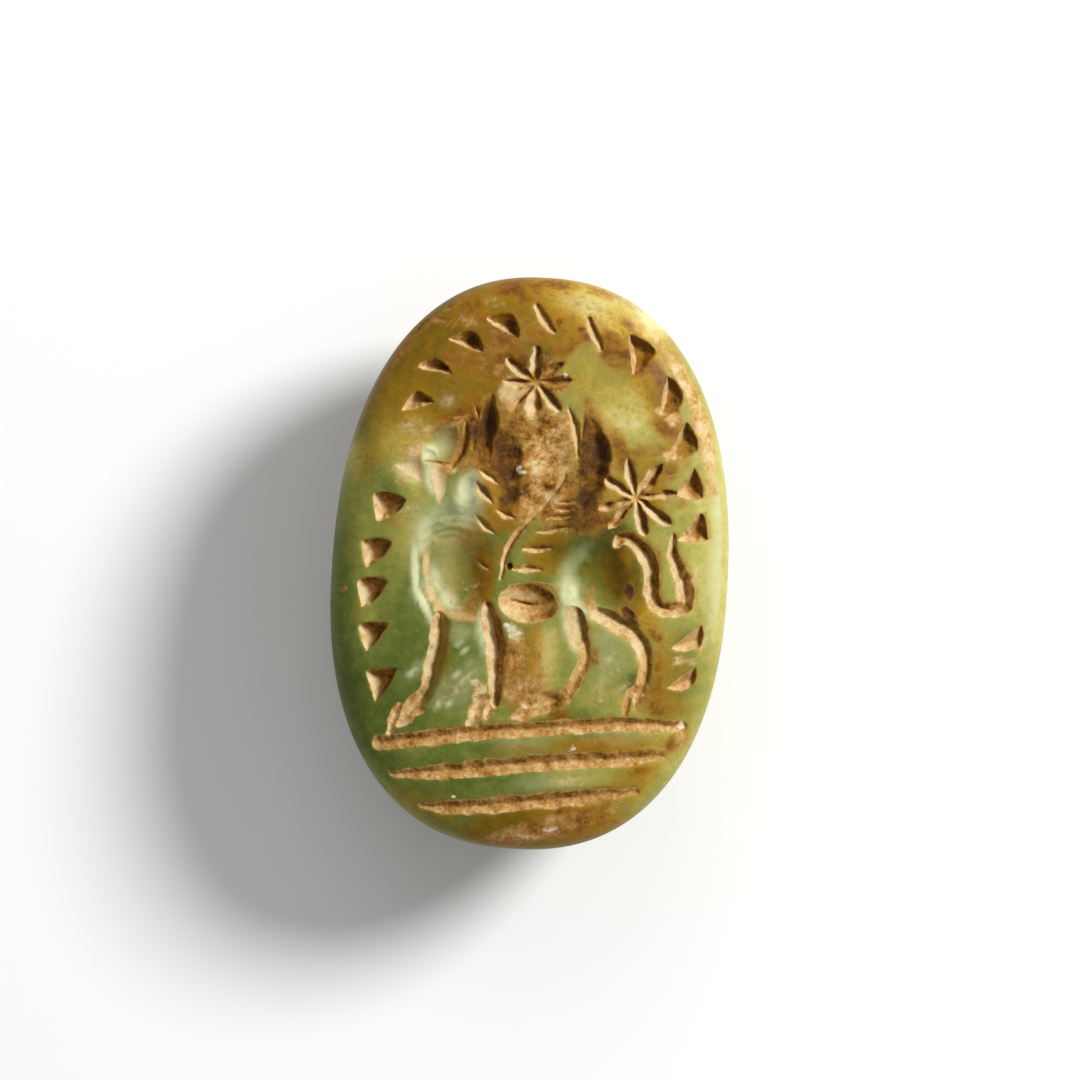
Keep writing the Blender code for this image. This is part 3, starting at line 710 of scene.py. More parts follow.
def early_marks() -> list[Patch]:
    """Return the stone's own changes of colour, with some painted light and shade, and what lies on the face
    between the cuts.
    """
    return [
        *marks(
            # Paler and darker stone; the darker spots above the haunch are painted shade of its upper rim.
            Soil.LIGHT,
            (4.4, 6.8, 1.4, 1, 0, .06), (-9.3, -1, 3, .8, 88, .12), (-3.4, -13.4, 2, .8, -10, .12),
            (-5.6, 1.2, 1.6, .8, 70, .15), (1.8, 13.3, 2.2, .8, -5, .25), (4.3, 12.6, 1.8, .8, -35, .25),
            (.9, -4.6, 2.2, .7, 90, .36), (-6.3, 1.6, 1.6, 1, 70, .28), (-6.6, -.6, 1.6, .8, 80, .14),
            (-5, 7.2, 2, 1.2, 10, .16), (1.8, 13.1, 1.4, .8, 0, .12), (-6.8, 5.4, 1.8, 1.2, 10, .16),
            (-4.85, 3.6, .9, .4, 100, .34), (7.9, -1, 1.3, .5, 90, .16), (5.1, 11.2, .6, .5, -45, .16),
            (5.5, -5.8, 1, .7, 0, -.14), (6, 8.4, .7, .6, 0, -.12), (4, 10, .9, .7, 0, -.12),
            (-6, -8, .9, .7, 0, -.12), (3, -8, .9, .7, 0, -.12), (-.5, 8.2, .4, .3, 80, .2),
            (0, 13.2, 2, .8, 0, .2), (-3, 12.9, 1.6, .7, 10, .15), (-5, 10.6, 1.6, .8, 50, -.08),
            (2.4, -10.6, 2.4, .5, 6, .22), (-.5, -11.2, 1.8, .4, 6, .1), (7.4, -9.4, 2, .8, 58, .06),
            (7.4, -5, 3.4, 1.4, 90, -.1), (4.6, -.6, 1.4, 1.2, 90, -.26), (3.2, -.5, 1.6, 1.5, 90, -.16),
            (2.9, 1.8, 1.6, 1.1, 0, -.4), (1.5, .9, 1, .9, 0, -.2), (5, -1.5, .9, .8, 90, -.14),
            (-6.2, 5.2, .8, 1.2, 90, .18), (4.2, 7.9, 1.7, 1, -20, .16), (3.4, 7.4, .8, .6, -40, .14),
            (6, 8.9, .7, 1, 90, -.2), (6.8, 7, 1.8, .7, -70, -.14), (5.5, 4.2, 1.6, 1, 90, -.14),
            (8.6, -4.6, 2.4, 1.3, 90, -.26), (7, -6.8, 1.2, .9, 60, -.14), (-8.3, 3.9, 4.4, .8, 85, .2),
            (-8.2, -1.6, 3.2, .6, 92, .14), (-6.9, 6.1, 1.4, .9, 60, .22), (-5.9, -12.3, 1.6, .9, -32, .24),
            (-1, 13, 3.6, 1, 0, -.3), (-1.4, 10.8, 2.6, 1.2, 0, -.17), (.1, 10, .8, .7, 0, -.25),
            (3.5, 10.9, 1.6, .9, -30, -.2), (-1.2, -11, 3, .9, 8, -.12), (0, -12.9, 4, .8, 8, -.12),
            (-.4, -5.4, 1.8, .8, 90, -.16), (1.6, -7.6, .9, .6, 10, -.24), (4, -4.8, 1.3, 1, 90, -.14),
            (-3.3, 6.6, 1, .8, 90, -.36), (-6.4, 4.1, 1, .65, -12, .4), (-9.4, 3.6, 2.4, .6, 85, .25),
            (-7.4, -1.6, 3, 1.2, 90, .13), (-1.8, .6, 1.8, .9, 90, -.16), (.4, -.1, .9, .6, 0, -.14),
            (2.5, 12.1, 1.2, .6, -20, .2), (5.2, 12.2, 1, .7, -45, .3), (4.2, 1.5, .8, .7, 0, -.22),
            (3.3, 2.3, .9, .6, 0, -.12), (5.3, -1.2, .9, .4, 90, -.12), (-4.3, 7.2, 1.2, .5, 0, -.18),
            (-5, 11.8, 1.6, .5, 20, -.1), (2.6, -7.4, 1.2, .5, 5, -.1), (-5.9, 3.1, .9, .5, 0, .22),
            (-3.4, 3.7, .6, .6, 0, .2), (-2.4, 10, 2.8, 2, 0, -.14), (4.2, 1.2, .9, .7, 0, -.34),
            (6, 7.9, .8, .6, -60, -.2), (2.8, -.3, .9, .7, 90, -.12), (.7, -3, .6, .4, 0, -.2),
            (5.2, .1, .4, .6, 0, -.2), (-5.6, 0, .5, .5, 0, -.14), (7.9, -1.2, .3, .8, 0, .4),
            (-5.45, 5.05, .5, .5, 0, .14), (-4.5, 5.1, .6, .4, 0, .12), (-1.4, 1.7, .5, .4, 0, -.16),
            (-2.3, 1.8, .4, .4, 0, .16), (7.9, -3.5, .6, .5, 0, -.15), (5.5, -5.8, .7, .6, 0, -.15),
            (-9.2, 4.4, 1.2, .5, 85, .22), (-7.4, 8, 1.3, .8, 60, .13), (-8, -2.4, 2.2, .5, 90, .12),
            (-7.5, -10.8, 1, .6, -50, .14), (-1.5, -9.5, .9, .35, 8, -.22), (0, -11.1, 1.2, .4, 8, -.14),
            (-3, -12.7, .9, .4, 0, -.14), (-4.3, .9, .7, .5, 0, .2), (-3.2, .9, .5, .4, 0, .12),
            (-4.4, -3.4, .4, .4, 0, .14), (.4, -.9, .5, .3, 0, -.18), (-2.2, -1.6, .35, 1, 0, -.16),
            (2.7, 12.1, 1.2, .5, -20, .3), (.6, 12.4, .5, .5, -20, .16), (1.6, 9.6, .9, 1.2, 0, .08),
            (4.7, 8.6, .8, .5, -20, .12), (-6.3, 3.7, .6, .4, 0, .14), (-9.2, 4.8, .8, .4, 85, .14),
            (-2.5, 14, 1, .4, 15, .12), (5.1, 11.1, .6, .5, 0, .25), (5.5, -5.6, .7, .6, 0, -.15),
            (-4.4, 7.8, 1.8, 1, 0, -.12), (4.3, 6.9, .7, .6, 0, .12), (-3.6, -.6, 1.8, 1.2, 90, .1),
            (-2.5, -1, 1.6, .5, 85, -.15),
        ),
        *marks(
            Soil.WARM,
            (3.4, 8.6, 3, 2.6, 90, .42), (-9.2, 1, 2.4, .6, 88, .25), (-6, 10, 5.5, 4, 55, .88),
            (-8.2, 5.8, 3, 1, 78, .55), (-4.15, -4.4, 2.4, .5, 88, .6), (3, 12.5, 2, .8, -20, 1),
            (5.4, 9.2, 2.4, 1, -60, 1), (3.6, 11, 1.6, .7, -20, 1), (2.8, 12, .9, .5, -30, 1.3),
            (.5, 10.6, .9, .7, 0, .8), (1.7, 9.4, .9, 1.4, 0, .5), (6.6, 6.8, 2, .7, -65, .8),
            (5.6, 3.8, 2, 1, 90, .8), (-6.6, 6, 2, 1.4, 20, .5), (-1, 12.6, 5, 2.2, 0, 1),
            (-3.4, 8.4, 3.4, 3, 0, 1), (4.6, 11.4, 2.6, 1, -35, .8), (1.5, -13.2, 5, 1.3, 8, 1),
            (-4.5, -12.6, 2.4, 1, -20, .5), (5.8, -10.6, 2.6, 1, 50, .6), (7.2, -5.4, 2.6, 1.2, 90, .6),
            (5.6, -2, 1.6, 1, 120, .7), (4.4, -.4, 1.8, 1.2, 95, .8), (3.2, -.6, 1.6, 1.2, 90, .45),
            (-2.4, -.8, 2, .7, 92, .9), (-3, 1.2, 1.2, 1, 60, .6), (-1.4, 3.4, 2, 1.6, 80, 1),
            (.6, .6, 1.4, 1.6, 0, .7), (0, -5.4, 2.4, 1.4, 90, .8), (3.4, 3.6, 2.8, 1.8, 90, .6),
            (4.2, -8.9, 3.4, .6, 4, .8), (-.2, -9.3, 2, .5, 8, .3),
        ),
        *marks(
            Soil.MILK_AND_HIGHLIGHT,
            # Milky clouding, and painted highlights: the bright bands on the chest's and haunch's walls that
            # face the key light, on the neck and head, and along the right edge.
            (-5.82, -.75, 1.5, .19, 95, 1.6), (-5.28, -2.45, 1.1, .18, 118, 1.6), (-5.5, 1, 1.2, .5, 78, .9),
            (-4.9, 1.9, 1.2, .9, 40, .5), (-4.7, -1.2, .9, .3, 115, .9), (-4.1, -2.1, .8, .45, 120, 1),
            (-4.3, -.6, 1.2, .6, 100, .25), (-4.2, 1, 1.2, 1, 0, .2), (-3.35, 3.55, .75, .5, 75, 2.2),
            (-3.4, 2.6, 1.1, .8, 90, .85), (1.9, -1.5, 1.1, .5, 96, .9), (1.8, -.4, .9, .4, 80, .45),
            (2.2, .3, .9, .35, 50, .35), (2.3, -2.2, .9, .5, -30, 1), (2.15, -3.3, 1.3, .35, 112, 1.1),
            (4.1, -2.7, 1, .35, -30, .6), (-5.45, 5, .5, .42, 80, 2.2), (-5.35, 4, .9, .35, 104, 1.8),
            (-6.3, 4.1, .8, .5, -12, .6), (-4.7, 5.6, .8, .6, 60, .5), (-4.7, 7.7, .4, .35, 0, .3),
            (-3.4, -3.8, .7, .5, 0, .35), (-2.35, -3.6, 1.4, .22, 100, .8), (4, -4.4, 1.2, 1, 90, .3),
            (.9, -4.8, 1.4, .4, 90, .3), (0, -9.15, 1.4, .4, 8, .22), (4.6, -8.65, 1.6, .4, 4, .16),
            (1.2, -10.95, 1.6, .4, 6, .25), (9.3, .5, 3.6, .5, 90, .75), (-2.9, -6.2, 1.4, .6, 60, .3),
            (-4, -6.6, 1, .5, 60, .2), (-5.4, -5.7, .8, .3, 50, .3), (-3.35, -4.35, .16, .1, 40, 1),
            (-3.1, -4.6, .2, .05, 70, .9), (-3.3, -5.05, .14, .1, 0, 1), (-2.9, -5.4, .22, .07, 50, .9),
            (-3.8, -5.65, .14, .06, 80, .8), (-3.35, -5.75, .26, .09, 60, 1),
            (-2.75, -5.95, .3, .08, 40, 1.1), (-3.9, -6.25, .18, .07, 50, .9), (-3.2, -6.35, .3, .08, 60, 1),
            (-2.7, -6.5, .22, .08, 50, 1), (-3.6, -6.75, .28, .08, 60, 1), (-4.15, -7.15, .22, .08, 50, 1.1),
            (-3.75, -7.4, .2, .07, 60, 1), (-4.3, -7.5, .16, .07, 50, .9), (-5.5, -5.6, .28, .08, 60, 1.1),
            (-5.75, -5.95, .2, .07, 50, 1), (4.1, -4.7, .16, .08, 60, .8), (3.8, -5.7, .2, .08, 70, .8),
            (4.6, -6.2, .16, .06, 50, .7), (2.05, -1.5, .7, .35, 90, 1.1), (-4.9, -1.3, .9, .6, 105, .6),
            (9.2, 3.6, 1.4, .4, 85, 1), (-2.6, 14, 1, .3, 15, .4), (2, 13, 1.3, .6, -10, .4),
        ),
        *marks(
            Soil.OCHRE,
            (-8.4, 7.9, 1.8, .25, 70, .6), (-7.1, 10.3, 1.8, .3, 56, .7), (-5, 11.75, 1.4, .22, -8, 1.1),
            (-3.9, 12.5, .9, .7, 30, 1), (-3.2, 11.9, .6, .4, 0, .8), (-1.6, 13.6, 1.6, .6, 8, 1),
            (.4, 13.9, 1.2, .35, -5, 1), (3, 13.5, 1.4, .25, -20, .8), (.5, 12.4, .6, .5, -30, .5),
            (.7, 11.9, .4, .2, -45, 1.3), (3.1, 11.95, .6, .5, -30, .5), (4.8, 10.9, .8, .7, 0, .8),
            (.6, 12.3, .4, .5, -30, .4), (-2.4, 11, 1.2, .5, 20, 1), (-1.2, 9.9, .7, .5, 20, 1.1),
            (-2.6, 9.2, .7, .6, 60, .9), (-3, 7.4, .8, .6, 60, .9), (5.7, 9.6, 1.4, .45, -58, 1.1),
            (3.3, 11.3, .7, .3, -30, 1.2), (1.4, 11.75, 1, .14, -4, 1.2), (1, 10.9, 1, .7, 40, .8),
            (2.4, 11.3, 1.5, .35, -10, 1), (3.7, 10.6, 1, .45, -24, 1.2), (4, 12.1, .6, .3, -30, .9),
            (-.2, 11.3, 1.4, .6, 5, .7), (5.3, 10.1, .7, .5, 10, .9), (6, 7.1, .8, .6, -20, 1),
            (5.4, 5.9, 1.2, .45, 10, .9), (6.6, 4.9, .5, .6, 0, .85), (7.2, 3.4, .6, .4, 30, .5),
            (2.5, 7.5, 1, .4, -60, 1), (3.85, 6, 1.3, .55, -62, 1), (4.3, 5.1, .8, .6, 0, .85),
            (-3.6, 9.8, 2.2, 1.2, 0, .6), (-2.2, 10.6, 1.6, .9, 0, .75), (-4.8, 9.9, .7, .3, 70, .9),
            (-6, 9.2, 1.6, .5, 75, .5), (6.6, -4.9, 1.9, .3, 92, .8), (6.4, -6.4, 1, .7, 0, .9),
            (6.9, -7, 1.6, .4, 0, .9), (6.3, -3.2, .7, .4, -50, 1), (3.4, -4.5, .35, .6, 0, .95),
            (.2, -6.4, 1.2, .7, 60, 1), (1.7, -7.5, .7, .4, 10, 1.1), (.5, -4.4, 1.6, .35, 92, .6),
            (4.5, .2, 1.2, .6, 95, .25), (5.9, 1.2, 1, .3, -50, .7), (-2.3, -1, 1.6, .5, 92, .5),
            (-2.8, -2.3, .9, .4, 80, .9), (-3.2, .2, .8, .5, -30, .4), (-1.6, 2, 1.4, .7, -15, .8),
            (-1.7, .4, 1, .4, 90, .5), (-3.7, -.7, 1.8, 1.3, 90, .32), (4.9, 9.9, 1.3, .5, -10, .9),
            (6, 8.6, 1, .5, -65, .8), (5.5, 4, 1.3, .7, 90, .6), (6.8, 6.9, 1.2, .45, -65, .8),
            (2.4, 12, .9, .5, 0, .5), (7.9, -1.4, .7, .25, 80, 1.2), (-2.5, 5, 1.3, .9, 90, 1),
            (-3.4, 5.6, 1.4, .5, 90, .9), (-4.4, 6.95, 1.3, .4, 5, .9), (-3.6, 7.6, 1, .6, 60, .8),
            (-4.4, 5, .5, .35, 90, .6), (-4.5, 4.3, .3, .3, 0, .7), (3.5, 10.4, 1, .6, -20, 1.1),
            (-1.9, 10, .7, .6, 0, 1.2), (-1, 13, .8, .4, 0, 1.1), (2.4, 12.1, .5, .25, -20, .5),
            (-4.1, 7.2, .6, .25, 0, 1.1), (1, 2.4, 1.3, .8, 60, .9), (.9, 1.2, 1.3, .4, 10, .5),
            (.8, .2, 1.2, .4, 10, .3), (1.4, -1.5, .6, .2, 90, .5), (3, 2.4, .8, .6, 60, .9),
            (2.5, -12.5, 1.6, .6, 10, .9), (4.4, -12.3, 1.1, .35, 80, .9), (4, -11.2, 1.4, .3, 12, .8),
            (2.4, -13.4, 1.8, .5, 12, .95), (5.6, -10.2, 1.6, .3, 12, .8), (3.4, -9, 2.6, .3, 4, .7),
            (-.2, -9.4, 1.4, .3, 8, .8), (-7, 1.6, .7, .4, 0, .5), (-8.6, -3, 1, .3, 85, .3),
            (7.6, -8.6, .8, .5, 40, .8),
        ),
        *marks(
            Soil.CLAY,
            (5.8, 11.2, 1.1, .4, -50, .55, .34), (6.6, 10.1, 1.1, .4, -55, .85, .26),
            (7.4, 8.8, 1.2, .44, -60, .9, .26), (7.95, 7.4, 1.2, .46, -66, .95, .26),
            (8.4, 5.9, 1.2, .46, -74, .85, .26), (8.7, 4.4, 1, .42, -80, .65, .24),
            (6.9, 9.3, .9, .2, -58, .85, .1), (8.1, 7.2, .9, .22, -66, .85, .08),
            (8.55, 5.8, .8, .18, -74, .75, .1), (4.6, 12, 1.1, .4, -35, .5, .24),
            (3.9, 12.9, 1, .4, -30, .4, .2), (6.55, 7.55, .5, .4, 60, .9, .16),
            (5.85, 7.85, .3, .25, 0, .9, .2), (6.4, 5.7, .3, .2, 0, .9, .12),
            (-2.6, 12.7, .8, .25, -15, .5, .4), (-4, 11.8, .6, .3, 0, .6, .3),
            (-4, 9.7, .6, .3, -50, .5, .25), (-1.75, 8.4, .75, .5, 75, 1.1, .14),
            (-1.1, 8.1, .6, .4, 0, 1, .2), (-1.5, 7.75, .4, .25, 60, 1, .12), (-1, 9.3, .5, .4, 0, .8, .4),
            (.2, 9.8, .7, .5, 0, .85, .72), (.6, 8.9, .7, .5, 0, .9, .76), (-.75, 8.05, .3, .5, 0, 1, .12),
            (-2.6, 10.4, 1.4, .7, 10, .34, .66), (-3.2, 9.3, 1, .6, 0, .3, .7),
            (-2.3, 9.4, .5, .3, 60, .5, .3), (-.6, -5, 1.7, .6, 88, .85, .52),
            (-.95, -4.4, 1.4, .2, 88, .6, .66), (-.7, -6.6, .8, .6, 0, .75, .42),
            (.7, -7, 1.1, .7, 10, .95, .42), (-5.9, -8, .8, .4, 50, .75, .42),
            (-2.1, -7.6, .8, .45, 60, .8, .46), (.4, -6, .9, .6, 30, .6, .4),
            (1.5, -6.85, .45, .4, 0, 1, .7), (-2.5, -6.2, .5, .16, -35, .95, .02),
            (-2.8, -5.8, .6, .14, 50, .5, 0), (-3.3, -6.5, .9, .16, 60, .5, 0),
            (-4.1, -7.3, .6, .14, 60, .5, 0), (-5.6, -5.8, .6, .14, 55, .5, 0),
            (4.2, -5, 1.6, 1, 90, .3, .3), (3.7, -6.4, .9, .5, 90, .4, .25), (5, -6, 1, .4, 90, .4, .2),
            (7.6, -4.5, .4, .25, 0, .75, .05), (8.2, -4.5, .3, .2, 0, .75, .05),
            (8.7, -3.4, 1.2, .35, 90, .55, .18), (-3.6, 10.2, 2, 1.2, 40, .3, .45),
            (-4.6, 8.8, 1.6, 1, 40, .24, .5), (-1.6, 11.2, 1.6, .6, 0, .36, .5),
            (-.6, 7, 1.6, .7, 0, .6, .4), (.6, 13.2, 2, .5, 0, .22, .4), (-6.2, 5.2, .6, .5, 10, .8, .12),
            (-6.5, 6.3, .9, .5, 20, .55, .18), (-5.8, 6.1, .8, .5, 20, .55, .2),
            (-4.7, 7.7, .45, .35, 0, .5, .22), (-4.6, 6.6, .8, .3, 10, .6, .4),
            (-4.4, 4.35, .45, .3, 0, .9, .34), (-3.7, 4.6, .5, .5, 0, .7, .5),
            (-6.3, 2.3, .9, .4, 15, .45, .1), (-6.7, 1.6, .5, .4, 0, .45, .4),
            (-5.3, -.4, 1.1, .2, 95, .85, .1), (-4.95, -1.9, .9, .28, 112, .7, .06),
            (-4.5, -2.65, .6, .34, 110, .85, .14), (-5, .6, .8, .25, 60, .5, .26),
            (-3.4, -2.95, .9, .26, -5, .85, .2), (-3.1, -1.5, .7, .1, 20, .7, .4),
            (-3.7, -1.45, .6, .08, 35, .65, .45), (-3.9, -2.2, .45, .07, 100, .6, .45),
            (-3.5, -2.5, .6, .08, -20, .65, .5), (-2.7, -1.2, .5, .08, -30, .6, .5),
            (-3.6, .9, 1, .07, 10, .5, .3), (-3.3, -2.3, .7, .2, 60, .8, .26),
            (-2.85, -2.2, .6, .3, 75, .7, .5), (3, -2, .5, .3, -30, .8, .3),
            (-2.2, -6.7, .6, .35, 70, 1, .08), (2.9, -1.4, .5, .5, 0, .4, .4),
            (.6, -13.6, 2.1, .5, 8, .9, .42), (2.2, -12.9, 1.8, .45, 12, .8, .5),
            (-.4, -14, 1.4, .3, -4, .8, .45), (4.6, -12.2, 1, .3, 35, .6, .55),
            (.9, -13.3, .5, .3, 0, 1, .9), (3.4, -12.7, .6, .25, 20, .9, .8),
            (2.4, -10.9, 1.4, .25, 8, .5, .15), (-6.2, 11.45, 1, .2, 46, .7, .78),
            (-7.4, 9.7, 1, .18, 62, .6, .7), (-1.2, 13.75, 1.3, .14, 8, .5, .74),
            (-2.6, 13.3, .7, .14, 25, .5, .74), (.6, 13.6, .8, .08, -8, .7, .7),
            (2.2, 13.6, .9, .07, -14, .7, .6), (-4.7, 12.6, .8, .1, 35, .7, .74),
            (-5.2, 11.6, 1, .12, -5, .8, .72), (-1, 11.9, .5, .12, 0, .6, .7),
            (-9.3, -1.95, .22, .1, 0, 1, .9), (-9.15, -.6, .1, .08, 0, .6, .9),
            (6, -9.1, 1.8, .16, 6, .6, .6), (8, -8.3, .6, .35, 60, .75, .5), (.5, 4, 1.6, 1.2, 60, 1.1, .42),
            (.5, 6.3, 1.5, 1.3, 90, 1.2, .47), (-.1, 6.9, 1.1, .6, 20, 1, .6),
            (1.5, 6.5, 1.2, .4, 100, 1, .3), (-.3, 5.2, 1.1, .8, 0, 1.1, .3), (.5, 4.6, .8, .5, 30, 1, .46),
            (1.4, 4.6, .5, .4, 30, .9, .3), (-.2, 3, 1.3, .7, 60, 1, .46), (.9, 2.9, 1.1, 1, 60, .9, .58),
            (1.6, 2.5, 1, .9, 90, .9, .66), (1.7, 3.6, .8, .7, 90, .9, .62),
            (2.2, 6.6, 1.2, .35, 97, .8, .66), (2.2, 4.9, 1.2, .45, 97, 1, .62),
            (2.8, 5.2, 2.3, .9, 96, 1.2, .9), (2.5, 3.2, 1.1, .65, 110, 1, .86),
            (2.2, 2.3, .9, .7, 120, 1, .94), (2.9, 2.5, .8, .6, 100, .9, .9), (3, 5.7, 1, .42, 94, 1.3, 1),
            (2.6, 3.4, .8, .45, 110, 1.2, .98), (-2, 5.3, 2, 1.1, 108, 1.25, .9),
            (-2.7, 5.2, 1, .6, 95, .9, .76), (-3.3, 6.3, 1.2, .45, 92, .95, .8),
            (-1.4, 7, .9, .5, 80, .7, .55), (-1.5, 2.8, .9, .5, 110, .8, .86),
            (-2.4, 4.6, .5, .4, 0, .8, .9), (-.6, 3.6, .4, .4, 0, .7, .72), (-1, 6.7, .7, .5, 80, 1.1, .7),
            (-2.6, 6.7, 1.3, .5, 94, 1.5, .98), (-2.1, 6.1, .6, .4, 60, .8, .82),
            (-1.4, 4.4, 1.2, .6, 92, 1.3, 1), (-1.1, 3.3, .6, .4, 80, 1.2, .94),
            (-.95, 5.4, .5, .3, 60, 1.1, .9), (-.2, 6.5, .35, .2, 60, .9, .8), (.1, 7, .4, .15, 0, .9, .75),
            (.7, 6.1, .3, .2, 20, .8, .66), (.6, 3.6, .5, .2, 60, .9, .66), (1.5, 5.2, .3, .3, 0, .8, .56),
            (-.6, 5.7, .4, .22, 60, 1, .34), (-.35, 5, .4, .26, 40, 1, .08), (-.05, 4.6, .3, .2, 30, 1, .1),
            (-.15, 5.6, .12, .08, 0, 1, 0), (.25, 5.9, .1, .07, 40, 1, .04), (.05, 5.25, .14, .07, 60, 1, 0),
            (.5, 5.3, .1, .06, 20, 1, .06), (.7, 6.6, .12, .07, 30, 1, .08), (1, 5.7, .1, .07, 0, 1, .8),
            (.2, 6.6, .12, .08, 60, 1, .84), (1.2, 6.2, .1, .08, 60, 1, .8), (.6, 5, .1, .07, 60, 1, .8),
            (.1, 4, .16, .08, 30, 1, .1), (.6, 3.4, .14, .08, 60, 1, .16), (-.4, 6.4, .5, .35, 20, 1, .78),
            (-.5, 7.1, .5, .3, 0, .9, .72), (.5, 4.5, .4, .3, 0, .8, .62),
            (-1.7, 8.35, .6, .4, 70, 1.1, .08), (-1.35, 7.8, .4, .25, 60, 1, .08),
            (-.95, 8, .35, .4, 0, 1, .1), (-6.8, 3.6, .4, .3, 0, .6, .1), (-4, 6.85, 1, .14, 6, .9, .75),
            (-4.95, 6.5, .5, .16, 35, .7, .6), (-3.4, 6, .7, .12, 90, .9, .36),
            (-4.1, 6, .7, .14, 92, .8, .4), (-4.5, 5.9, .6, .4, 60, .4, .36),
        ),
    ]


def smooth_marks() -> list[Patch]:
    """Return where the earth is fine and even, and where it is coarse."""
    return marks(
        Soil.GRIT,
        (-4.9, -1.4, 2.4, .9, 108, 1, .15), (-3.4, -2.9, 1.4, .6, 0, 1, .2), (3, 5.2, 2.4, .9, 97, 1, .16),
        (2.2, 2.8, 1.2, 1, 110, 1, .2), (-2.6, 6.4, 1.8, .8, 95, 1, .16), (-1.6, 4.2, 1.8, .8, 100, 1, .24),
        (-5, 5, 1.6, 1.2, 90, 1, .35), (-4, 3.4, 1.6, 1.2, 90, .8, .4), (.5, 5.5, 1.5, 1.2, 95, 1, 1.15),
        (.3, 3.6, 1, .8, 110, .9, 1.1), (-1.4, 8.1, .8, .5, 60, 1, .2),
    )


def late_marks() -> list[Patch]:
    """Return what lies over the cuts: dark and pale spots in their earth, some of them painted shade and
    painted light, and chalky crumbs.
    """
    return [
        *marks(
            Soil.CLAY,
            (-1.36, 4.9, .3, .16, 20, 1, .6), (-1.4, 3.85, .28, .14, 0, 1, .5),
            (-1.1, 3.95, .12, .3, 0, .9, .6), (-1.5, 7.3, .2, .4, 0, .9, .2), (-1.9, 7.6, .2, .3, 0, .8, .3),
            (-1.3, 6.6, .14, .3, 0, .8, .3), (-2.95, 7.2, .5, .1, 80, .7, .25),
            (.9, -2.3, .5, .35, 60, .85, .62), (-.55, -4, .5, .24, -20, .8, .1),
            (.6, -1.15, .8, .16, -8, .9, .78), (-.4, -1.72, .9, .26, 0, .9, .2),
            (7.75, -1.1, .6, .16, 85, .8, .3), (7.5, -.2, .4, .14, 60, .6, .3),
            (-4.85, 3.7, .8, .3, 100, 1.1, 0), (.9, 3.2, .5, .35, 30, .8, .2),
            (-4.5, 4.3, .34, .26, -20, 1, .34), (-4.85, 4.35, .2, .2, 0, .9, .12),
            (.5, 9.1, .6, .4, 0, .8, .86), (.1, 9.9, .5, .4, 0, .7, .8), (-3.4, 6.4, .9, .28, 90, .8, .86),
            (-1.4, 7.2, .6, .4, 90, .6, .66), (2.35, 6.6, .9, .3, 95, .9, .9),
            (-1.45, 4.45, .7, .34, 80, 1, .92), (-1.6, 3.9, .4, .3, 0, .8, .86),
            (-2.7, 7, .7, .34, 94, 1.1, 1), (-3.15, 6.3, .6, .3, 90, .9, .94), (3.1, 5.6, 1, .4, 94, 1, .93),
            (2.8, 3.5, .8, .4, 105, .9, .92), (3.4, 2.3, .5, .3, 0, .8, .9),
            # The pale spots here are painted light on the upper star's shaded ground.
            (-.62, 8.15, .75, .32, 82, 1, .02), (-1.15, 8.1, .7, .2, 54, .9, .1),
            (-.86, 8.1, .5, .14, 80, 1, .06), (-.88, 8.22, .55, .08, 51, .9, .8),
            # Dark spots in the far corners of the border cuts are painted shade.
            (-5, 9.45, .4, .22, 0, 1.1, .98), (-3.65, 10.75, .4, .32, -60, 1.1, .98),
            (-1.72, 11.6, .5, .28, -70, 1.1, 1), (-5.8, 7.72, .4, .16, 0, .6, .8),
            (7.92, 4.2, .5, .3, 90, .9, .84), (8.2, 2.1, .45, .28, 80, .9, .8),
            (7.45, 6.3, .6, .26, 110, .8, .8), (6.6, 8.3, .6, .26, 110, .8, .76),
            (1.8, -6.9, .4, .4, 0, .8, .8), (4.92, -1.25, .55, .28, 90, .85, .95),
            (7.92, -.7, .9, .16, 88, .9, .3), (4.95, -2.3, .7, .24, -32, .9, .95),
            (4.35, 1.62, .5, .12, -10, .8, .8), (-.5, 9.1, .3, .3, 0, .5, .7),
            (2.3, 2.2, .8, .5, 120, .85, .9), (.6, 4.3, .5, .3, 40, .6, .5), (-.5, 6.5, .5, .4, 0, .6, .56),
            (-.9, -1.6, .5, .3, 0, .5, .15), (2.75, -2.9, .4, .1, 80, .5, .8),
            (5.1, -2.6, .7, .16, -30, .85, .9),
        ),
        *marks(
            Soil.CRUMB,
            (-.7, -3.5, .6, .34, -35, .66), (-1.05, -3.25, .24, .12, -20, .95),
            (-.75, -3.5, .28, .14, -30, .95), (-.4, -3.62, .2, .1, 20, .85), (-.85, -3.8, .16, .08, 10, .8),
            (-.3, -3.95, .12, .08, 0, .75), (-.95, 4.6, .2, .12, 60, 1), (-.78, 4.4, .18, .1, 10, 1),
            (1.05, 9.33, .16, .1, 110, 1), (7.9, -7.7, .2, .22, 0, 1), (2.65, -9.15, .32, .1, 30, .8),
            (-1.25, -13.9, .26, .1, -5, 1), (-3.2, -11.95, .12, .08, 0, .9), (1.7, -13.3, .5, .2, 20, .6),
            (.5, -13.8, .4, .14, -10, .6),
        ),
    ]


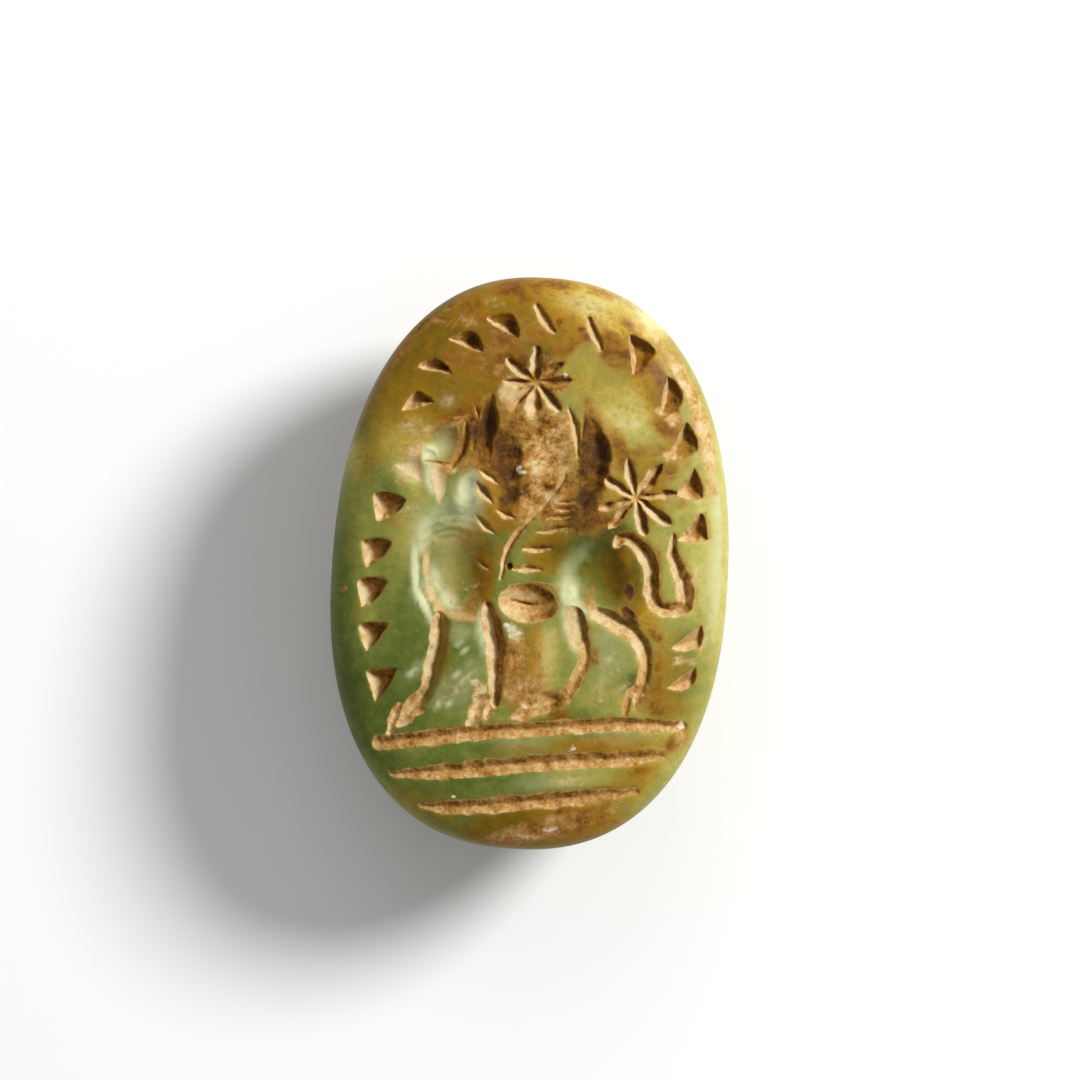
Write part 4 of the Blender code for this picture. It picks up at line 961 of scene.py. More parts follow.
@dataclass(frozen=True)
class SealForm:
    """The bead's smooth outer form, before it is engraved.

    Attributes:
        half_width: Half the width across the oval.
        half_length: Half its length.
        thickness: From the resting flat to the top of the face.
        oval_power: How square the oval is: 2 is an ellipse.
        narrowing: How much narrower the top of the oval is.
        face_rise: How far the face stands over the widest girth.
        face_power: How flat the face is before it turns over its edge.
        back_overrun: How much of the dome the resting flat has taken off.
        back_power: How full the domed back is.
        face_reach: How far out the face's own mesh goes, of 1 at the girth.
        back_reach: The same on the back.
    """

    half_width: float
    half_length: float
    thickness: float
    oval_power: float = 2.32
    narrowing: float = 0.03
    face_rise: float = 3.2
    face_power: float = 3.6
    back_overrun: float = 0.25
    back_power: float = 2.3
    face_reach: float = 0.93
    back_reach: float = 0.62

    @property
    def girth(self) -> float:
        """Height of the widest part over the resting flat."""
        return self.thickness - self.face_rise

    def out(self, x: Points, y: Points) -> Points:
        """Return 0 in the middle of the oval and 1 on its edge."""
        side = self.half_width * (1 - self.narrowing * y / self.half_length)
        power = self.oval_power
        return (np.abs(x / side) ** power + np.abs(y / self.half_length) ** power) ** (1 / power)

    def face_height(self, out: Points) -> Points:
        """Return the height of the face this far out."""
        fall = np.maximum(0.0, 1 - out**self.face_power) ** (1 / self.face_power)
        return self.girth + self.face_rise * fall

    def back_height(self, out: Points) -> Points:
        """Return the height of the back this far out."""
        fall = np.maximum(0.0, 1 - out**self.back_power) ** (1 / self.back_power)
        return np.maximum(0.0, self.girth - (self.girth + self.back_overrun) * fall)

    def section(self) -> tuple[Points, Points]:
        """Return the run of the side, from the face's mesh over the girth to the back's mesh."""
        over = self.face_reach + (1 - self.face_reach) * np.sin(np.linspace(0, math.pi / 2, 60))
        under = 1 - (1 - self.back_reach) * (1 - np.cos(np.linspace(0, math.pi / 2, 160)))
        out = np.concatenate([over, under[1:]])
        height = np.concatenate([self.face_height(over), self.back_height(under[1:])])
        return out, height

    def place(self, cube: Points) -> Points:
        """Draw a cube of half size 1 out to the bead.

        Args:
            cube: Points on the cube, one a row.

        Returns:
            The same points on the bead.
        """
        u, v, w = cube.T
        disc_x = u * np.sqrt(1 - v * v / 2)
        disc_y = v * np.sqrt(1 - u * u / 2)
        disc = np.minimum(1.0, np.hypot(disc_x, disc_y))
        angle = np.arctan2(disc_y, disc_x)
        across = np.sign(np.cos(angle)) * np.abs(np.cos(angle)) ** (2 / self.oval_power)
        along = np.sign(np.sin(angle)) * np.abs(np.sin(angle)) ** (2 / self.oval_power)
        side_out, side_height = self.section()
        mean_half = (self.half_width + self.half_length) / 2
        steps = np.hypot(np.diff(side_out) * mean_half, np.diff(side_height))
        run = np.concatenate([[0.0], np.cumsum(steps)])
        share = (1 - w) / 2 * run[-1]
        out = np.interp(share, run, side_out)
        height = np.interp(share, run, side_height)
        on_face = w > 1 - TINY
        on_back = w < TINY - 1
        out = np.where(on_face, disc * self.face_reach, np.where(on_back, disc * self.back_reach, out))
        height = np.where(on_face, self.face_height(out), height)
        height = np.where(on_back, self.back_height(out), height)
        x = self.half_width * across * (1 - self.narrowing * along) * out
        return np.column_stack([x, self.half_length * along * out, height])


def untouched(count: int, tone: float) -> dict[Soil, Points]:
    """Return every kind of colouring as it is before any mark is laid.

    Args:
        count: How many points there are.
        tone: How dark thin earth is.

    Returns:
        For each kind, a value for each point.
    """
    found = {soil: np.zeros(count) for soil in Soil}
    found[Soil.TONE] += tone
    found[Soil.GRIT] += USUAL_GRIT
    return found


@dataclass(frozen=True)
class Layer:
    """Cuts that were made together: where two of them meet, the deeper one counts.

    Attributes:
        cuts: The cuts.
        blur: How many millimetres of depth it takes for one cut's look to give way to another's.
    """

    cuts: tuple[Cut, ...]
    blur: float = 0.04

    def raw_depth(self, x: Points, y: Points) -> Points:
        """Return the deepest cut at each point, below zero outside them all."""
        deepest = np.full(np.shape(x), NO_CUT)
        for cut in self.cuts:
            here = cut.near(x, y)
            if here.any():
                deepest[here] = np.maximum(deepest[here], cut.raw_depth(x[here], y[here]))
        return deepest

    def looks(self, x: Points, y: Points) -> dict[str, Points]:
        """Return each of the cuts' looks at each point, mixed where two cuts meet."""
        weights = np.full(np.shape(x), 1e-12)
        mixed = {name: np.zeros(np.shape(x)) for name in CUT_LOOKS}
        for cut in self.cuts:
            here = cut.near(x, y)
            if not here.any():
                continue
            weight = np.exp(cut.raw_depth(x[here], y[here]) / self.blur)
            weights[here] += weight
            for name, values in mixed.items():
                values[here] += weight * getattr(cut, name)
        return {name: values / weights for name, values in mixed.items()}


@dataclass
class Engraving:
    """Every cut in the face, and the earth and stains that go with them, with painted light and shade on
    their walls.

    Attributes:
        right: How far its middle lies to the right of the oval's.
        up: How far it lies above it.
        lip: How round the edges of the cuts are worn.
        wander: How far a cut's edge strays from a true line.
        seep_and_shade: How far rust has seeped into the stone beside a cut, on its side away from the key
            light, where it is also painted shade.
        seep_and_shade_strength: How strong it is there.
    """

    right: float = 0.1
    up: float = 0.1
    lip: float = 0.045
    wander: float = 0.022
    seep_and_shade: float = 0.22
    seep_and_shade_strength: float = 0.45

    def __post_init__(self) -> None:
        """Sort the cuts into those made in the fresh face and those made in what was sunk already."""
        cuts: list[Cut] = []
        for group in (pointed_border, upper_star, lower_star, ground_lines, limbs, body, wing, head):
            cuts.extend(group())
        first = Layer(tuple(cut for cut in cuts if not cut.over))
        second = Layer(tuple(cut for cut in cuts if cut.over))
        self.layers = (first, second)
        self.early = early_marks() + smooth_marks()
        self.late = late_marks()

    def own(self, x: Points, y: Points) -> tuple[Points, Points]:
        """Return the bead's points as distances from the engraving's middle."""
        return x - self.right, y - self.up

    def strayed(self, x: Points, y: Points) -> tuple[Points, Points]:
        """Return the points moved a little, as an unsteady hand would."""
        near = self.wander * (Ripple(0.9, 11).at(x, y) + 0.5 * Ripple(0.35, 12).at(x, y))
        far = self.wander * (Ripple(0.9, 13).at(x, y) + 0.5 * Ripple(0.35, 14).at(x, y))
        return x + near, y + far

    def depth(self, x: Points, y: Points) -> Points:
        """Return how far the face is sunk at each point of the bead, with worn lips."""
        near_x, near_y = self.strayed(*self.own(x, y))
        raws = [layer.raw_depth(near_x, near_y) for layer in self.layers]
        return sum(self.lip * np.logaddexp(0.0, raw / self.lip) for raw in raws)

    def leans(self, x: Points, y: Points) -> Points:
        """Return how steeply the ground faces the key light, up and to the right, below zero where it faces
        away.
        """
        step = 0.05
        rise_x = self.depth(x + step, y) - self.depth(x - step, y)
        rise_y = self.depth(x, y + step) - self.depth(x, y - step)
        return (rise_x * LIT_SIDE[0] + rise_y * LIT_SIDE[1]) / (2 * step)

    def lay(self, found: dict[Soil, Points], patches: list[Patch], x: Points, y: Points) -> None:
        """Lay patches over what the face has so far."""
        for mark in patches:
            strength = mark.at(x, y)
            if mark.soil is Soil.LIGHT:
                found[mark.soil] += strength
                continue
            if mark.soil is Soil.GRIT:
                found[mark.soil] += (mark.tone - found[mark.soil]) * strength
                continue
            if mark.soil is Soil.CLAY:
                share = strength / max(mark.strength, TINY)
                found[Soil.TONE] += (mark.tone - found[Soil.TONE]) * share
            found[mark.soil] = np.maximum(found[mark.soil], strength)

    def colouring(self, x: Points, y: Points) -> dict[Soil, Points]:
        """Return the strength of every kind of colouring at each point of the bead."""
        lean = self.leans(x, y)
        lit_wall = smooth_step(lean, -0.15, 0.95)
        dark = smooth_step(-lean, -0.05, 0.95)
        own_x, own_y = self.own(x, y)
        near_x, near_y = self.strayed(own_x, own_y)
        found = untouched(len(x), FACE_TONE)
        self.lay(found, self.early, own_x, own_y)
        for layer in self.layers:
            raw = layer.raw_depth(near_x, near_y)
            look = layer.looks(near_x, near_y)
            inside = smooth_step(raw, -0.05, 0.08)
            # Earth is laid thicker and painted paler on walls that face the key light, thinner and darker on
            # the others: painted light and shade.
            amount = look["clay_in_shade"] + (look["clay"] - look["clay_in_shade"]) * (0.5 + 0.5 * (lit_wall - dark))
            tone = look["tone"] + look["shade"] * dark - look["glint"] * lit_wall
            cover = inside * smooth_step(amount, 0.0, 0.5)
            kept = found[Soil.CLAY] * (1 - 0.7 * cover)
            found[Soil.CLAY] = np.maximum(kept, amount * inside)
            found[Soil.TONE] += (np.clip(tone, 0, 1) - found[Soil.TONE]) * cover
            found[Soil.GRIT] += (look["grit"] - found[Soil.GRIT]) * cover
            # Rust is laid heavier on the walls away from the key light and beside the cut on that side:
            # stain, and painted shade.
            stain_and_shade = look["ochre"] * inside * (0.5 + 0.5 * dark)
            back_x, back_y = near_x - self.seep_and_shade * LIT_SIDE[0], near_y - self.seep_and_shade * LIT_SIDE[1]
            reached = smooth_step(layer.raw_depth(back_x, back_y), -0.15, 0.1) * (1 - inside)
            halo = self.seep_and_shade_strength * layer.looks(back_x, back_y)["ochre"] * reached
            found[Soil.OCHRE] = np.maximum(found[Soil.OCHRE], np.maximum(stain_and_shade, halo))
        self.lay(found, self.late, own_x, own_y)
        return found


@dataclass(frozen=True)
class StoneBuilder:
    """Makes the bead's fine mesh: form, string hole, engraving and masks.

    Attributes:
        form: The smooth outer form.
        engraving: The cuts in the face.
        cell: The first mesh's usual edge.
        misses: For each round of halving, how far an edge may miss the carving and be left.
        side_run: How long the side is taken to be, for the number of cells along it.
        carved_reach: How far out the engraving goes, of 1 at the girth.
        bore_radius: The string hole's radius.
        bore_height: The height of its axis over the resting flat.
        mouth_flare: How much wider the string has worn its mouths, of 1.
        mouth_depth: How far in they are fully worn.
        mouth_blend: How gently they run into the hole.
        crumb_height: How far a crumb stands up.
        grain_height: The same for the earth's grain.
    """

    form: SealForm
    engraving: Engraving
    cell: float = 0.34
    misses: tuple[float, ...] = (0.004, 0.006, 0.013)
    side_run: float = 13.0
    carved_reach: float = 0.96
    bore_radius: float = 1.5
    bore_height: float = 4.0
    mouth_flare: float = 0.45
    mouth_depth: float = 0.4
    mouth_blend: float = 0.55
    crumb_height: float = 0.05
    grain_height: float = 0.02

    def blank(self) -> bpy.types.Object:
        """Return the smooth bead as an object."""
        shape = bmesh.new()
        bmesh.ops.create_cube(shape, size=2.0)
        lengths = (2 * self.form.half_width, 2 * self.form.half_length, self.side_run)
        for axis, length in enumerate(lengths):
            along = [e for e in shape.edges if abs(e.verts[0].co[axis] - e.verts[1].co[axis]) > TINY]
            cuts = round(length / self.cell) - 1
            bmesh.ops.subdivide_edges(shape, edges=along, cuts=cuts, use_grid_fill=True)
        cube = np.array([vert.co for vert in shape.verts])
        for vert, spot in zip(shape.verts, self.form.place(cube)):
            vert.co = spot
        bmesh.ops.recalc_face_normals(shape, faces=shape.faces)
        return mesh_object("blank", shape)

    def string_hole(self) -> bpy.types.Object:
        """Return the cutter of the hole, which flares where the string has worn its mouths."""
        shape = bmesh.new()
        reach = self.form.half_width + 1.0
        radii = {"radius1": self.bore_radius, "radius2": self.bore_radius}
        bmesh.ops.create_cone(shape, cap_ends=True, segments=72, depth=2 * reach, **radii)
        sides = [edge for edge in shape.edges if abs(edge.verts[0].co.z - edge.verts[1].co.z) > reach]
        bmesh.ops.subdivide_edges(shape, edges=sides, cuts=60, use_grid_fill=True)
        worn_from = self.form.half_width - self.mouth_depth
        for vert in shape.verts:
            short = max(0.0, worn_from - abs(vert.co.z)) / self.mouth_blend
            flare = 1 + self.mouth_flare * math.exp(-(short**2))
            vert.co = Vector((vert.co.z, vert.co.y * flare, vert.co.x * flare + self.bore_height))
        bmesh.ops.recalc_face_normals(shape, faces=shape.faces)
        return mesh_object("string hole", shape)

    def drilled(self) -> bmesh.types.BMesh:
        """Return the bead with its string hole."""
        stone = self.blank()
        cutter = self.string_hole()
        hole = stone.modifiers.new("string hole", "BOOLEAN")
        hole.operation = "DIFFERENCE"
        hole.solver = "EXACT"
        hole.object = cutter
        graph = bpy.context.evaluated_depsgraph_get()
        mesh = bpy.data.meshes.new_from_object(stone.evaluated_get(graph))
        shape = bmesh.new()
        shape.from_mesh(mesh)
        bpy.data.meshes.remove(mesh)
        bpy.data.objects.remove(stone)
        bpy.data.objects.remove(cutter)
        return shape

    def refine(self, shape: bmesh.types.BMesh, miss_allowed: float) -> None:
        """Halve the faces whose edges miss the carving by more than is allowed."""
        spots = np.array([vert.co for vert in shape.verts])
        shape.verts.index_update()
        ends = np.array([[vert.index for vert in edge.verts] for edge in shape.edges])
        start, end = spots[ends[:, 0]], spots[ends[:, 1]]
        middle = (start + end) / 2
        carved = self.carvable(middle)
        miss = np.zeros(len(ends))
        sunk = self.engraving.depth(spots[:, 0], spots[:, 1])
        half_way = self.engraving.depth(middle[carved, 0], middle[carved, 1])
        miss[carved] = np.abs(half_way - (sunk[ends[carved, 0]] + sunk[ends[carved, 1]]) / 2)
        shape.edges.ensure_lookup_table()
        chosen = set()
        for index in np.nonzero(miss > miss_allowed)[0]:
            for face in shape.edges[index].link_faces:
                chosen.update(face.edges)
        how = {"cuts": 1, "use_grid_fill": True, "use_single_edge": True}
        bmesh.ops.subdivide_edges(shape, edges=list(chosen), **how)

    def carvable(self, spots: Points) -> Points:
        """Say which points are on the engraved face."""
        out = self.form.out(spots[:, 0], spots[:, 1])
        return (spots[:, 2] > self.form.girth) & (out < self.carved_reach)

    def colouring(self, spots: Points, face: Points) -> dict[Soil, Points]:
        """Return every kind of colouring for the whole bead.

        Args:
            spots: Where the vertices are.
            face: Which of them are on the engraved face.

        Returns:
            For each kind, one value for each vertex.
        """
        x, y, z = spots.T
        found = untouched(len(spots), SIDE_TONE)
        for soil, values in self.engraving.colouring(x[face], y[face]).items():
            found[soil][face] = values
        side = (z > self.form.girth - 4.0) & ~face
        soft = smooth_step(z[side], self.form.girth - 4.0, self.form.girth)
        rim = untouched(side.sum(), SIDE_TONE)
        self.engraving.lay(rim, self.engraving.early, *self.engraving.own(x[side], y[side]))
        for soil in (Soil.LIGHT, Soil.WARM, Soil.OCHRE, Soil.CLAY):
            found[soil][side] = rim[soil] * soft
        found[Soil.TONE][side] = rim[Soil.TONE]
        # The stone is paler towards the right and along its right edge, and duller along its left one: partly
        # its own colour, thin at the edge, and partly painted light from the key light's side and painted
        # shade on the far side.
        across = x / self.form.half_width
        glow = 0.26 + 0.32 * smooth_step(x + 0.2 * y, -6.5, 7.5) + 0.2 * smooth_step(across, 0.66, 0.98)
        glow -= 0.12 * smooth_step(-across - 0.1 * y / self.form.half_length, 0.4, 1.0)
        found[Soil.LIGHT] += glow
        # Iron has warmed the upper part of the back.
        under = 1 - smooth_step(z, self.form.girth - 1.0, self.form.girth + 1.0)
        found[Soil.WARM] = np.maximum(found[Soil.WARM], 0.55 * under * smooth_step(y, -9.0, 9.0))
        # Earth lies round the mouths of the string hole, and rust has spread further.
        past_hole = np.hypot(y, z - self.bore_height) - self.bore_radius
        for soil, strength, spread in ((Soil.CLAY, 1.0, 1.1), (Soil.OCHRE, 0.8, 2.6)):
            ring = strength * (1 - smooth_step(past_hole, 0.0, spread))
            found[soil] = np.maximum(found[soil], ring)
        return found

    def build(self) -> bpy.types.Object:
        """Return the finished bead, in metres, with an attribute for each kind of colouring."""
        shape = self.drilled()
        for miss_allowed in self.misses:
            self.refine(shape, miss_allowed)
        spots = np.array([vert.co for vert in shape.verts])
        face = self.carvable(spots)
        colouring = self.colouring(spots, face)
        x, y = spots[face, 0], spots[face, 1]
        fresh = self.form.face_height(self.form.out(x, y))
        crumbs = self.crumb_height * colouring[Soil.CRUMB][face]
        coarse = (colouring[Soil.CLAY] * colouring[Soil.GRIT])[face]
        grains = self.grain_height * coarse * Ripple(0.25, 5).at(x, y)
        sunk = self.engraving.depth(x, y)
        spots[face, 2] = np.minimum(fresh - sunk + crumbs + grains, fresh)
        for vert, spot in zip(shape.verts, spots):
            vert.co = spot
        stone = mesh_object("engraved_bead", shape, MM)
        for soil, values in colouring.items():
            layer = stone.data.attributes.new(soil.value, "FLOAT", "POINT")
            layer.data.foreach_set("value", values.astype(np.float32))
        stone.data.shade_smooth()
        return stone


def mesh_object(name: str, shape: bmesh.types.BMesh, scale: float = 1.0) -> bpy.types.Object:
    """Turn a bmesh into an object at the origin.

    Args:
        name: The object's name.
        shape: The bmesh, which is freed.
        scale: What its points are multiplied by.

    Returns:
        The object, linked to the scene.
    """
    bmesh.ops.scale(shape, vec=(scale, scale, scale), verts=shape.verts)
    mesh = bpy.data.meshes.new(name)
    shape.to_mesh(mesh)
    shape.free()
    obj = bpy.data.objects.new(name, mesh)
    bpy.context.scene.collection.objects.link(obj)
    return obj


def paint(red: int, green: int, blue: int) -> tuple[float, float, float, float]:
    """Turn a colour as a screen shows it into the linear one that shaders take.

    Args:
        red: 0 to 255.
        green: 0 to 255.
        blue: 0 to 255.

    Returns:
        The linear colour with full alpha.
    """
    shares = [value / 255 for value in (red, green, blue)]
    linear = [s / 12.92 if s <= 0.04045 else ((s + 0.055) / 1.055) ** 2.4 for s in shares]
    return linear[0], linear[1], linear[2], 1.0


Colour = tuple[float, float, float, float]
Ramp = tuple[tuple[float, Colour], ...]
Socket = bpy.types.NodeSocket
# Where Blender keeps a mix node's colour sockets.
MIX_FACTOR, MIX_A, MIX_B, MIX_RESULT = 0, 6, 7, 2


def stops(*rows: tuple[float, int, int, int]) -> Ramp:
    """Return the stops of a colour ramp.

    Args:
        rows: For each one its place from 0 to 1, then red, green and blue, 0 to 255.

    Returns:
        Each place with its linear colour.
    """
    return tuple((place, paint(*colour)) for place, *colour in rows)


@dataclass(frozen=True)
class NodeSheet:
    """Lays nodes in one tree and joins them up.

    Attributes:
        tree: The tree of a material or of a node group.
    """

    tree: bpy.types.NodeTree

    def add(self, kind: str, feeds: dict[str | int, object], **settings: object) -> bpy.types.Node:
        """Add a node.

        Args:
            kind: Blender's name for the node.
            feeds: What goes into each input: a socket or a plain value.
            settings: The node's own settings.

        Returns:
            The node.
        """
        node = self.tree.nodes.new(kind)
        for name, value in settings.items():
            setattr(node, name, value)
        for name, value in feeds.items():
            if isinstance(value, bpy.types.NodeSocket):
                self.tree.links.new(value, node.inputs[name])
            else:
                node.inputs[name].default_value = value
        return node

    def noise(
        self, where: Socket, scale: float, detail: float = 4.0, rough: float = 0.55, bent: float = 0.0
    ) -> Socket:
        """Return soft clouds, this many to the unit, with values about 0.5."""
        feeds = {"Vector": where, "Scale": scale, "Detail": detail, "Roughness": rough, "Distortion": bent}
        return self.add("ShaderNodeTexNoise", feeds).outputs["Fac"]

    def math(self, operation: str, *values: object, clamp: bool = False) -> Socket:
        """Return the result of one sum."""
        feeds = dict(enumerate(values))
        return self.add("ShaderNodeMath", feeds, operation=operation, use_clamp=clamp).outputs[0]

    def eased(self, value: Socket, low: float, high: float, top: float = 1.0) -> Socket:
        """Return 0 below the low value, easing up to the top value at the high one."""
        feeds = {"Value": value, "From Min": low, "From Max": high, "To Max": top}
        node = self.add("ShaderNodeMapRange", feeds, interpolation_type="SMOOTHSTEP")
        return node.outputs["Result"]

    def mix(self, factor: object, first: object, second: object, blend: str = "MIX") -> Socket:
        """Return the first colour, with the second laid over it."""
        feeds = {MIX_FACTOR: factor, MIX_A: first, MIX_B: second}
        node = self.add("ShaderNodeMix", feeds, data_type="RGBA", blend_type=blend)
        return node.outputs[MIX_RESULT]

    def ramp(self, factor: Socket, steps: Ramp) -> Socket:
        """Return the colour that the ramp gives for the factor."""
        node = self.add("ShaderNodeValToRGB", {"Fac": factor})
        elements = node.color_ramp.elements
        while len(elements) < len(steps):
            elements.new(0.5)
        for element, (place, colour) in zip(elements, steps):
            element.position = place
            element.color = colour
        return node.outputs["Color"]

    def attribute(self, soil: Soil) -> Socket:
        """Return the mesh's own value for one kind of colouring."""
        node = self.add("ShaderNodeAttribute", {}, attribute_name=soil.value)
        return node.outputs["Fac"]


def broken_patch_group() -> bpy.types.NodeTree:
    """Return a group that breaks a soft patch up into a ragged, granular one."""
    tree = bpy.data.node_groups.new("broken patch", "ShaderNodeTree")
    tree.interface.new_socket("Vector", in_out="INPUT", socket_type="NodeSocketVector")
    for name in ("Amount", "Scale", "Raggedness"):
        tree.interface.new_socket(name, in_out="INPUT", socket_type="NodeSocketFloat")
    tree.interface.new_socket("Mask", in_out="OUTPUT", socket_type="NodeSocketFloat")
    sheet = NodeSheet(tree)
    given = sheet.add("NodeGroupInput", {})
    clouds = sheet.noise(given.outputs["Vector"], 1.0, 8.0, 0.65)
    sheet.tree.links.new(given.outputs["Scale"], clouds.node.inputs["Scale"])
    spread = sheet.math("SUBTRACT", clouds, 0.5)
    spread = sheet.math("MULTIPLY", spread, given.outputs["Raggedness"])
    total = sheet.math("ADD", spread, given.outputs["Amount"])
    mask = sheet.eased(total, 0.15, 0.85)
    sheet.add("NodeGroupOutput", {"Mask": mask})
    return tree


@dataclass(frozen=True)
class StoneFinish:
    """Translucent yellow-green stone, stained by iron, with earth in its cuts.

    Attributes:
        green: The clean stone's colours, from its darkest to its pale right edge, which is thin and also
            painted light.
        amber: The same where iron has warmed the stone.
        milk_and_highlight: Clouded places, and painted highlights on polished walls that face the key light.
        stains: Iron stains, from light to heavy.
        earth: The earth's colours, from pale to dark; painted light and shade on the cut walls also move
            along it.
        crumb: Chalky crumbs.
        stone_roughness: How matt the worn polish is.
        earth_roughness: How matt the earth is.
        gloss: How much it mirrors, of 1.
        translucency: How much light the stone lets through.
        light_depth: How far light travels in the stone, in metres.
    """

    green: Ramp = stops(
        (0.0, 68, 78, 28), (0.2, 92, 104, 40), (0.4, 124, 128, 58),
        (0.6, 154, 147, 70), (0.8, 182, 172, 94), (1.0, 198, 200, 150),
    )
    amber: Ramp = stops(
        (0.0, 82, 60, 6), (0.25, 120, 94, 12), (0.5, 148, 114, 26), (0.75, 180, 146, 46), (1.0, 208, 188, 100)
    )
    milk_and_highlight: Colour = paint(190, 192, 148)
    stains: Ramp = stops((0.0, 186, 142, 40), (0.35, 160, 108, 22), (0.7, 126, 78, 14), (1.0, 94, 54, 14))
    earth: Ramp = stops(
        (0.0, 212, 189, 144), (0.2, 198, 164, 107), (0.4, 180, 136, 76), (0.6, 156, 110, 46),
        (0.76, 124, 82, 26), (0.9, 95, 62, 22), (1.0, 72, 45, 26),
    )
    crumb: Colour = paint(226, 214, 180)
    stone_roughness: float = 0.44
    earth_roughness: float = 0.9
    gloss: float = 0.12
    translucency: float = 0.12
    light_depth: float = 0.0008

    def ground_colour(self, sheet: NodeSheet, where: Socket) -> Socket:
        """Return the colour of the clean stone, with its milky clouds and painted highlights."""
        clouds = sheet.noise(where, 0.35, 6.0, 0.6)
        flecks = sheet.noise(where, 2.0, 10.0, 0.8)
        light = sheet.attribute(Soil.LIGHT)
        light = sheet.math("ADD", light, sheet.math("MULTIPLY_ADD", clouds, 0.5, -0.25))
        light = sheet.math("ADD", light, sheet.math("MULTIPLY_ADD", flecks, 0.7, -0.35))
        drift = sheet.noise(where, 0.7, 10.0, 0.75)
        drift = sheet.math("ADD", sheet.attribute(Soil.WARM), sheet.math("MULTIPLY_ADD", drift, 0.9, -0.45))
        warmth = sheet.eased(drift, 0.1, 0.8)
        warmth = sheet.math("MULTIPLY", warmth, sheet.eased(sheet.attribute(Soil.WARM), 0.0, 0.3))
        colour = sheet.mix(warmth, sheet.ramp(light, self.green), sheet.ramp(light, self.amber))
        curdled = sheet.math("MULTIPLY_ADD", sheet.noise(where, 1.6, 8.0, 0.7), 1.6, 0.1)
        cloud_and_highlight = sheet.math("MULTIPLY", sheet.attribute(Soil.MILK_AND_HIGHLIGHT), curdled, clamp=True)
        return sheet.mix(cloud_and_highlight, colour, self.milk_and_highlight)

    def veins(self, sheet: NodeSheet, where: Socket) -> Socket:
        """Return fine rusty veins, which run through the warm side."""
        clouds = sheet.noise(where, 0.5, 3.0, 0.6, 1.2)
        gap = sheet.math("ABSOLUTE", sheet.math("SUBTRACT", clouds, 0.5))
        line = sheet.math("SUBTRACT", 1.0, sheet.eased(gap, 0.0, 0.014))
        broken = sheet.eased(sheet.noise(where, 1.7, 3.0), 0.45, 0.65)
        return sheet.math("MULTIPLY", sheet.math("MULTIPLY", line, broken), sheet.attribute(Soil.WARM))

    def freckles(self, sheet: NodeSheet, where: Socket) -> Socket:
        """Return fine brown freckles, thick where iron has warmed the stone and thin elsewhere."""
        dots = sheet.eased(sheet.noise(where, 4.5, 6.0, 0.75), 0.49, 0.63)
        crowds = sheet.eased(sheet.noise(where, 0.8, 4.0, 0.6), 0.36, 0.6)
        share = sheet.math("MULTIPLY_ADD", sheet.attribute(Soil.WARM), 0.6, 0.12)
        return sheet.math("MULTIPLY", sheet.math("MULTIPLY", dots, crowds), share)

    def build(self) -> bpy.types.Material:
        """Return the material."""
        material = bpy.data.materials.new("green stone with earth")
        material.use_nodes = True
        sheet = NodeSheet(material.node_tree)
        sheet.tree.nodes.clear()
        place = sheet.add("ShaderNodeTexCoord", {}).outputs["Object"]
        per_mm = {0: place, "Scale": 1 / MM}
        where = sheet.add("ShaderNodeVectorMath", per_mm, operation="SCALE").outputs[0]
        breaker = broken_patch_group()
        masks = {}
        recipe = {Soil.CLAY: (3.2, 1.2), Soil.CRUMB: (5.0, 1.3)}
        for soil, (scale, raggedness) in recipe.items():
            node = sheet.add("ShaderNodeGroup", {}, node_tree=breaker)
            sheet.tree.links.new(where, node.inputs["Vector"])
            sheet.tree.links.new(sheet.attribute(soil), node.inputs["Amount"])
            node.inputs["Scale"].default_value = scale
            node.inputs["Raggedness"].default_value = raggedness
            masks[soil] = node.outputs["Mask"]
        colour = self.ground_colour(sheet, where)
        rust = sheet.noise(where, 1.0, 10.0, 0.7, 0.4)
        rust = sheet.math("ADD", 0.35, sheet.eased(rust, 0.3, 0.68, 0.75))
        rust = sheet.math("MULTIPLY", sheet.attribute(Soil.OCHRE), rust)
        colour = sheet.mix(sheet.eased(rust, 0.0, 0.85, 0.9), colour, sheet.ramp(rust, self.stains))
        colour = sheet.mix(sheet.math("MULTIPLY", self.veins(sheet, where), 0.6), colour, self.stains[2][1])
        colour = sheet.mix(self.freckles(sheet, where), colour, self.stains[2][1])
        grains = sheet.noise(where, 4.8, 6.0, 0.8)
        blots = sheet.noise(where, 1.4, 4.0, 0.6)
        grit = sheet.math("MULTIPLY_ADD", sheet.attribute(Soil.GRIT), 1.6, 0.25)
        mixed = sheet.math("ADD", grains, sheet.math("MULTIPLY", blots, 0.9))
        swing = sheet.math("MULTIPLY", sheet.math("SUBTRACT", mixed, 0.95), grit)
        tone = sheet.math("ADD", sheet.attribute(Soil.TONE), swing)
        colour = sheet.mix(masks[Soil.CLAY], colour, sheet.ramp(tone, self.earth))
        colour = sheet.mix(masks[Soil.CRUMB], colour, self.crumb)
        earth = sheet.math("MAXIMUM", masks[Soil.CLAY], masks[Soil.CRUMB])
        span = self.earth_roughness - self.stone_roughness
        roughness = sheet.math("MULTIPLY_ADD", earth, span, self.stone_roughness)
        relief = sheet.math("MULTIPLY", grains, sheet.math("MULTIPLY_ADD", earth, 0.95, 0.05))
        bump = sheet.add("ShaderNodeBump", {"Height": relief, "Distance": 0.06 * MM, "Strength": 0.8})
        feeds = {
            "Base Color": colour,
            "Roughness": roughness,
            "Normal": bump.outputs["Normal"],
            "Specular IOR Level": self.gloss,
            "Subsurface Weight": self.translucency,
            "Subsurface Radius": (1.0, 0.9, 0.35),
            "Subsurface Scale": self.light_depth,
        }
        shader = sheet.add("ShaderNodeBsdfPrincipled", feeds)
        sheet.add("ShaderNodeOutputMaterial", {"Surface": shader.outputs["BSDF"]})
        return material


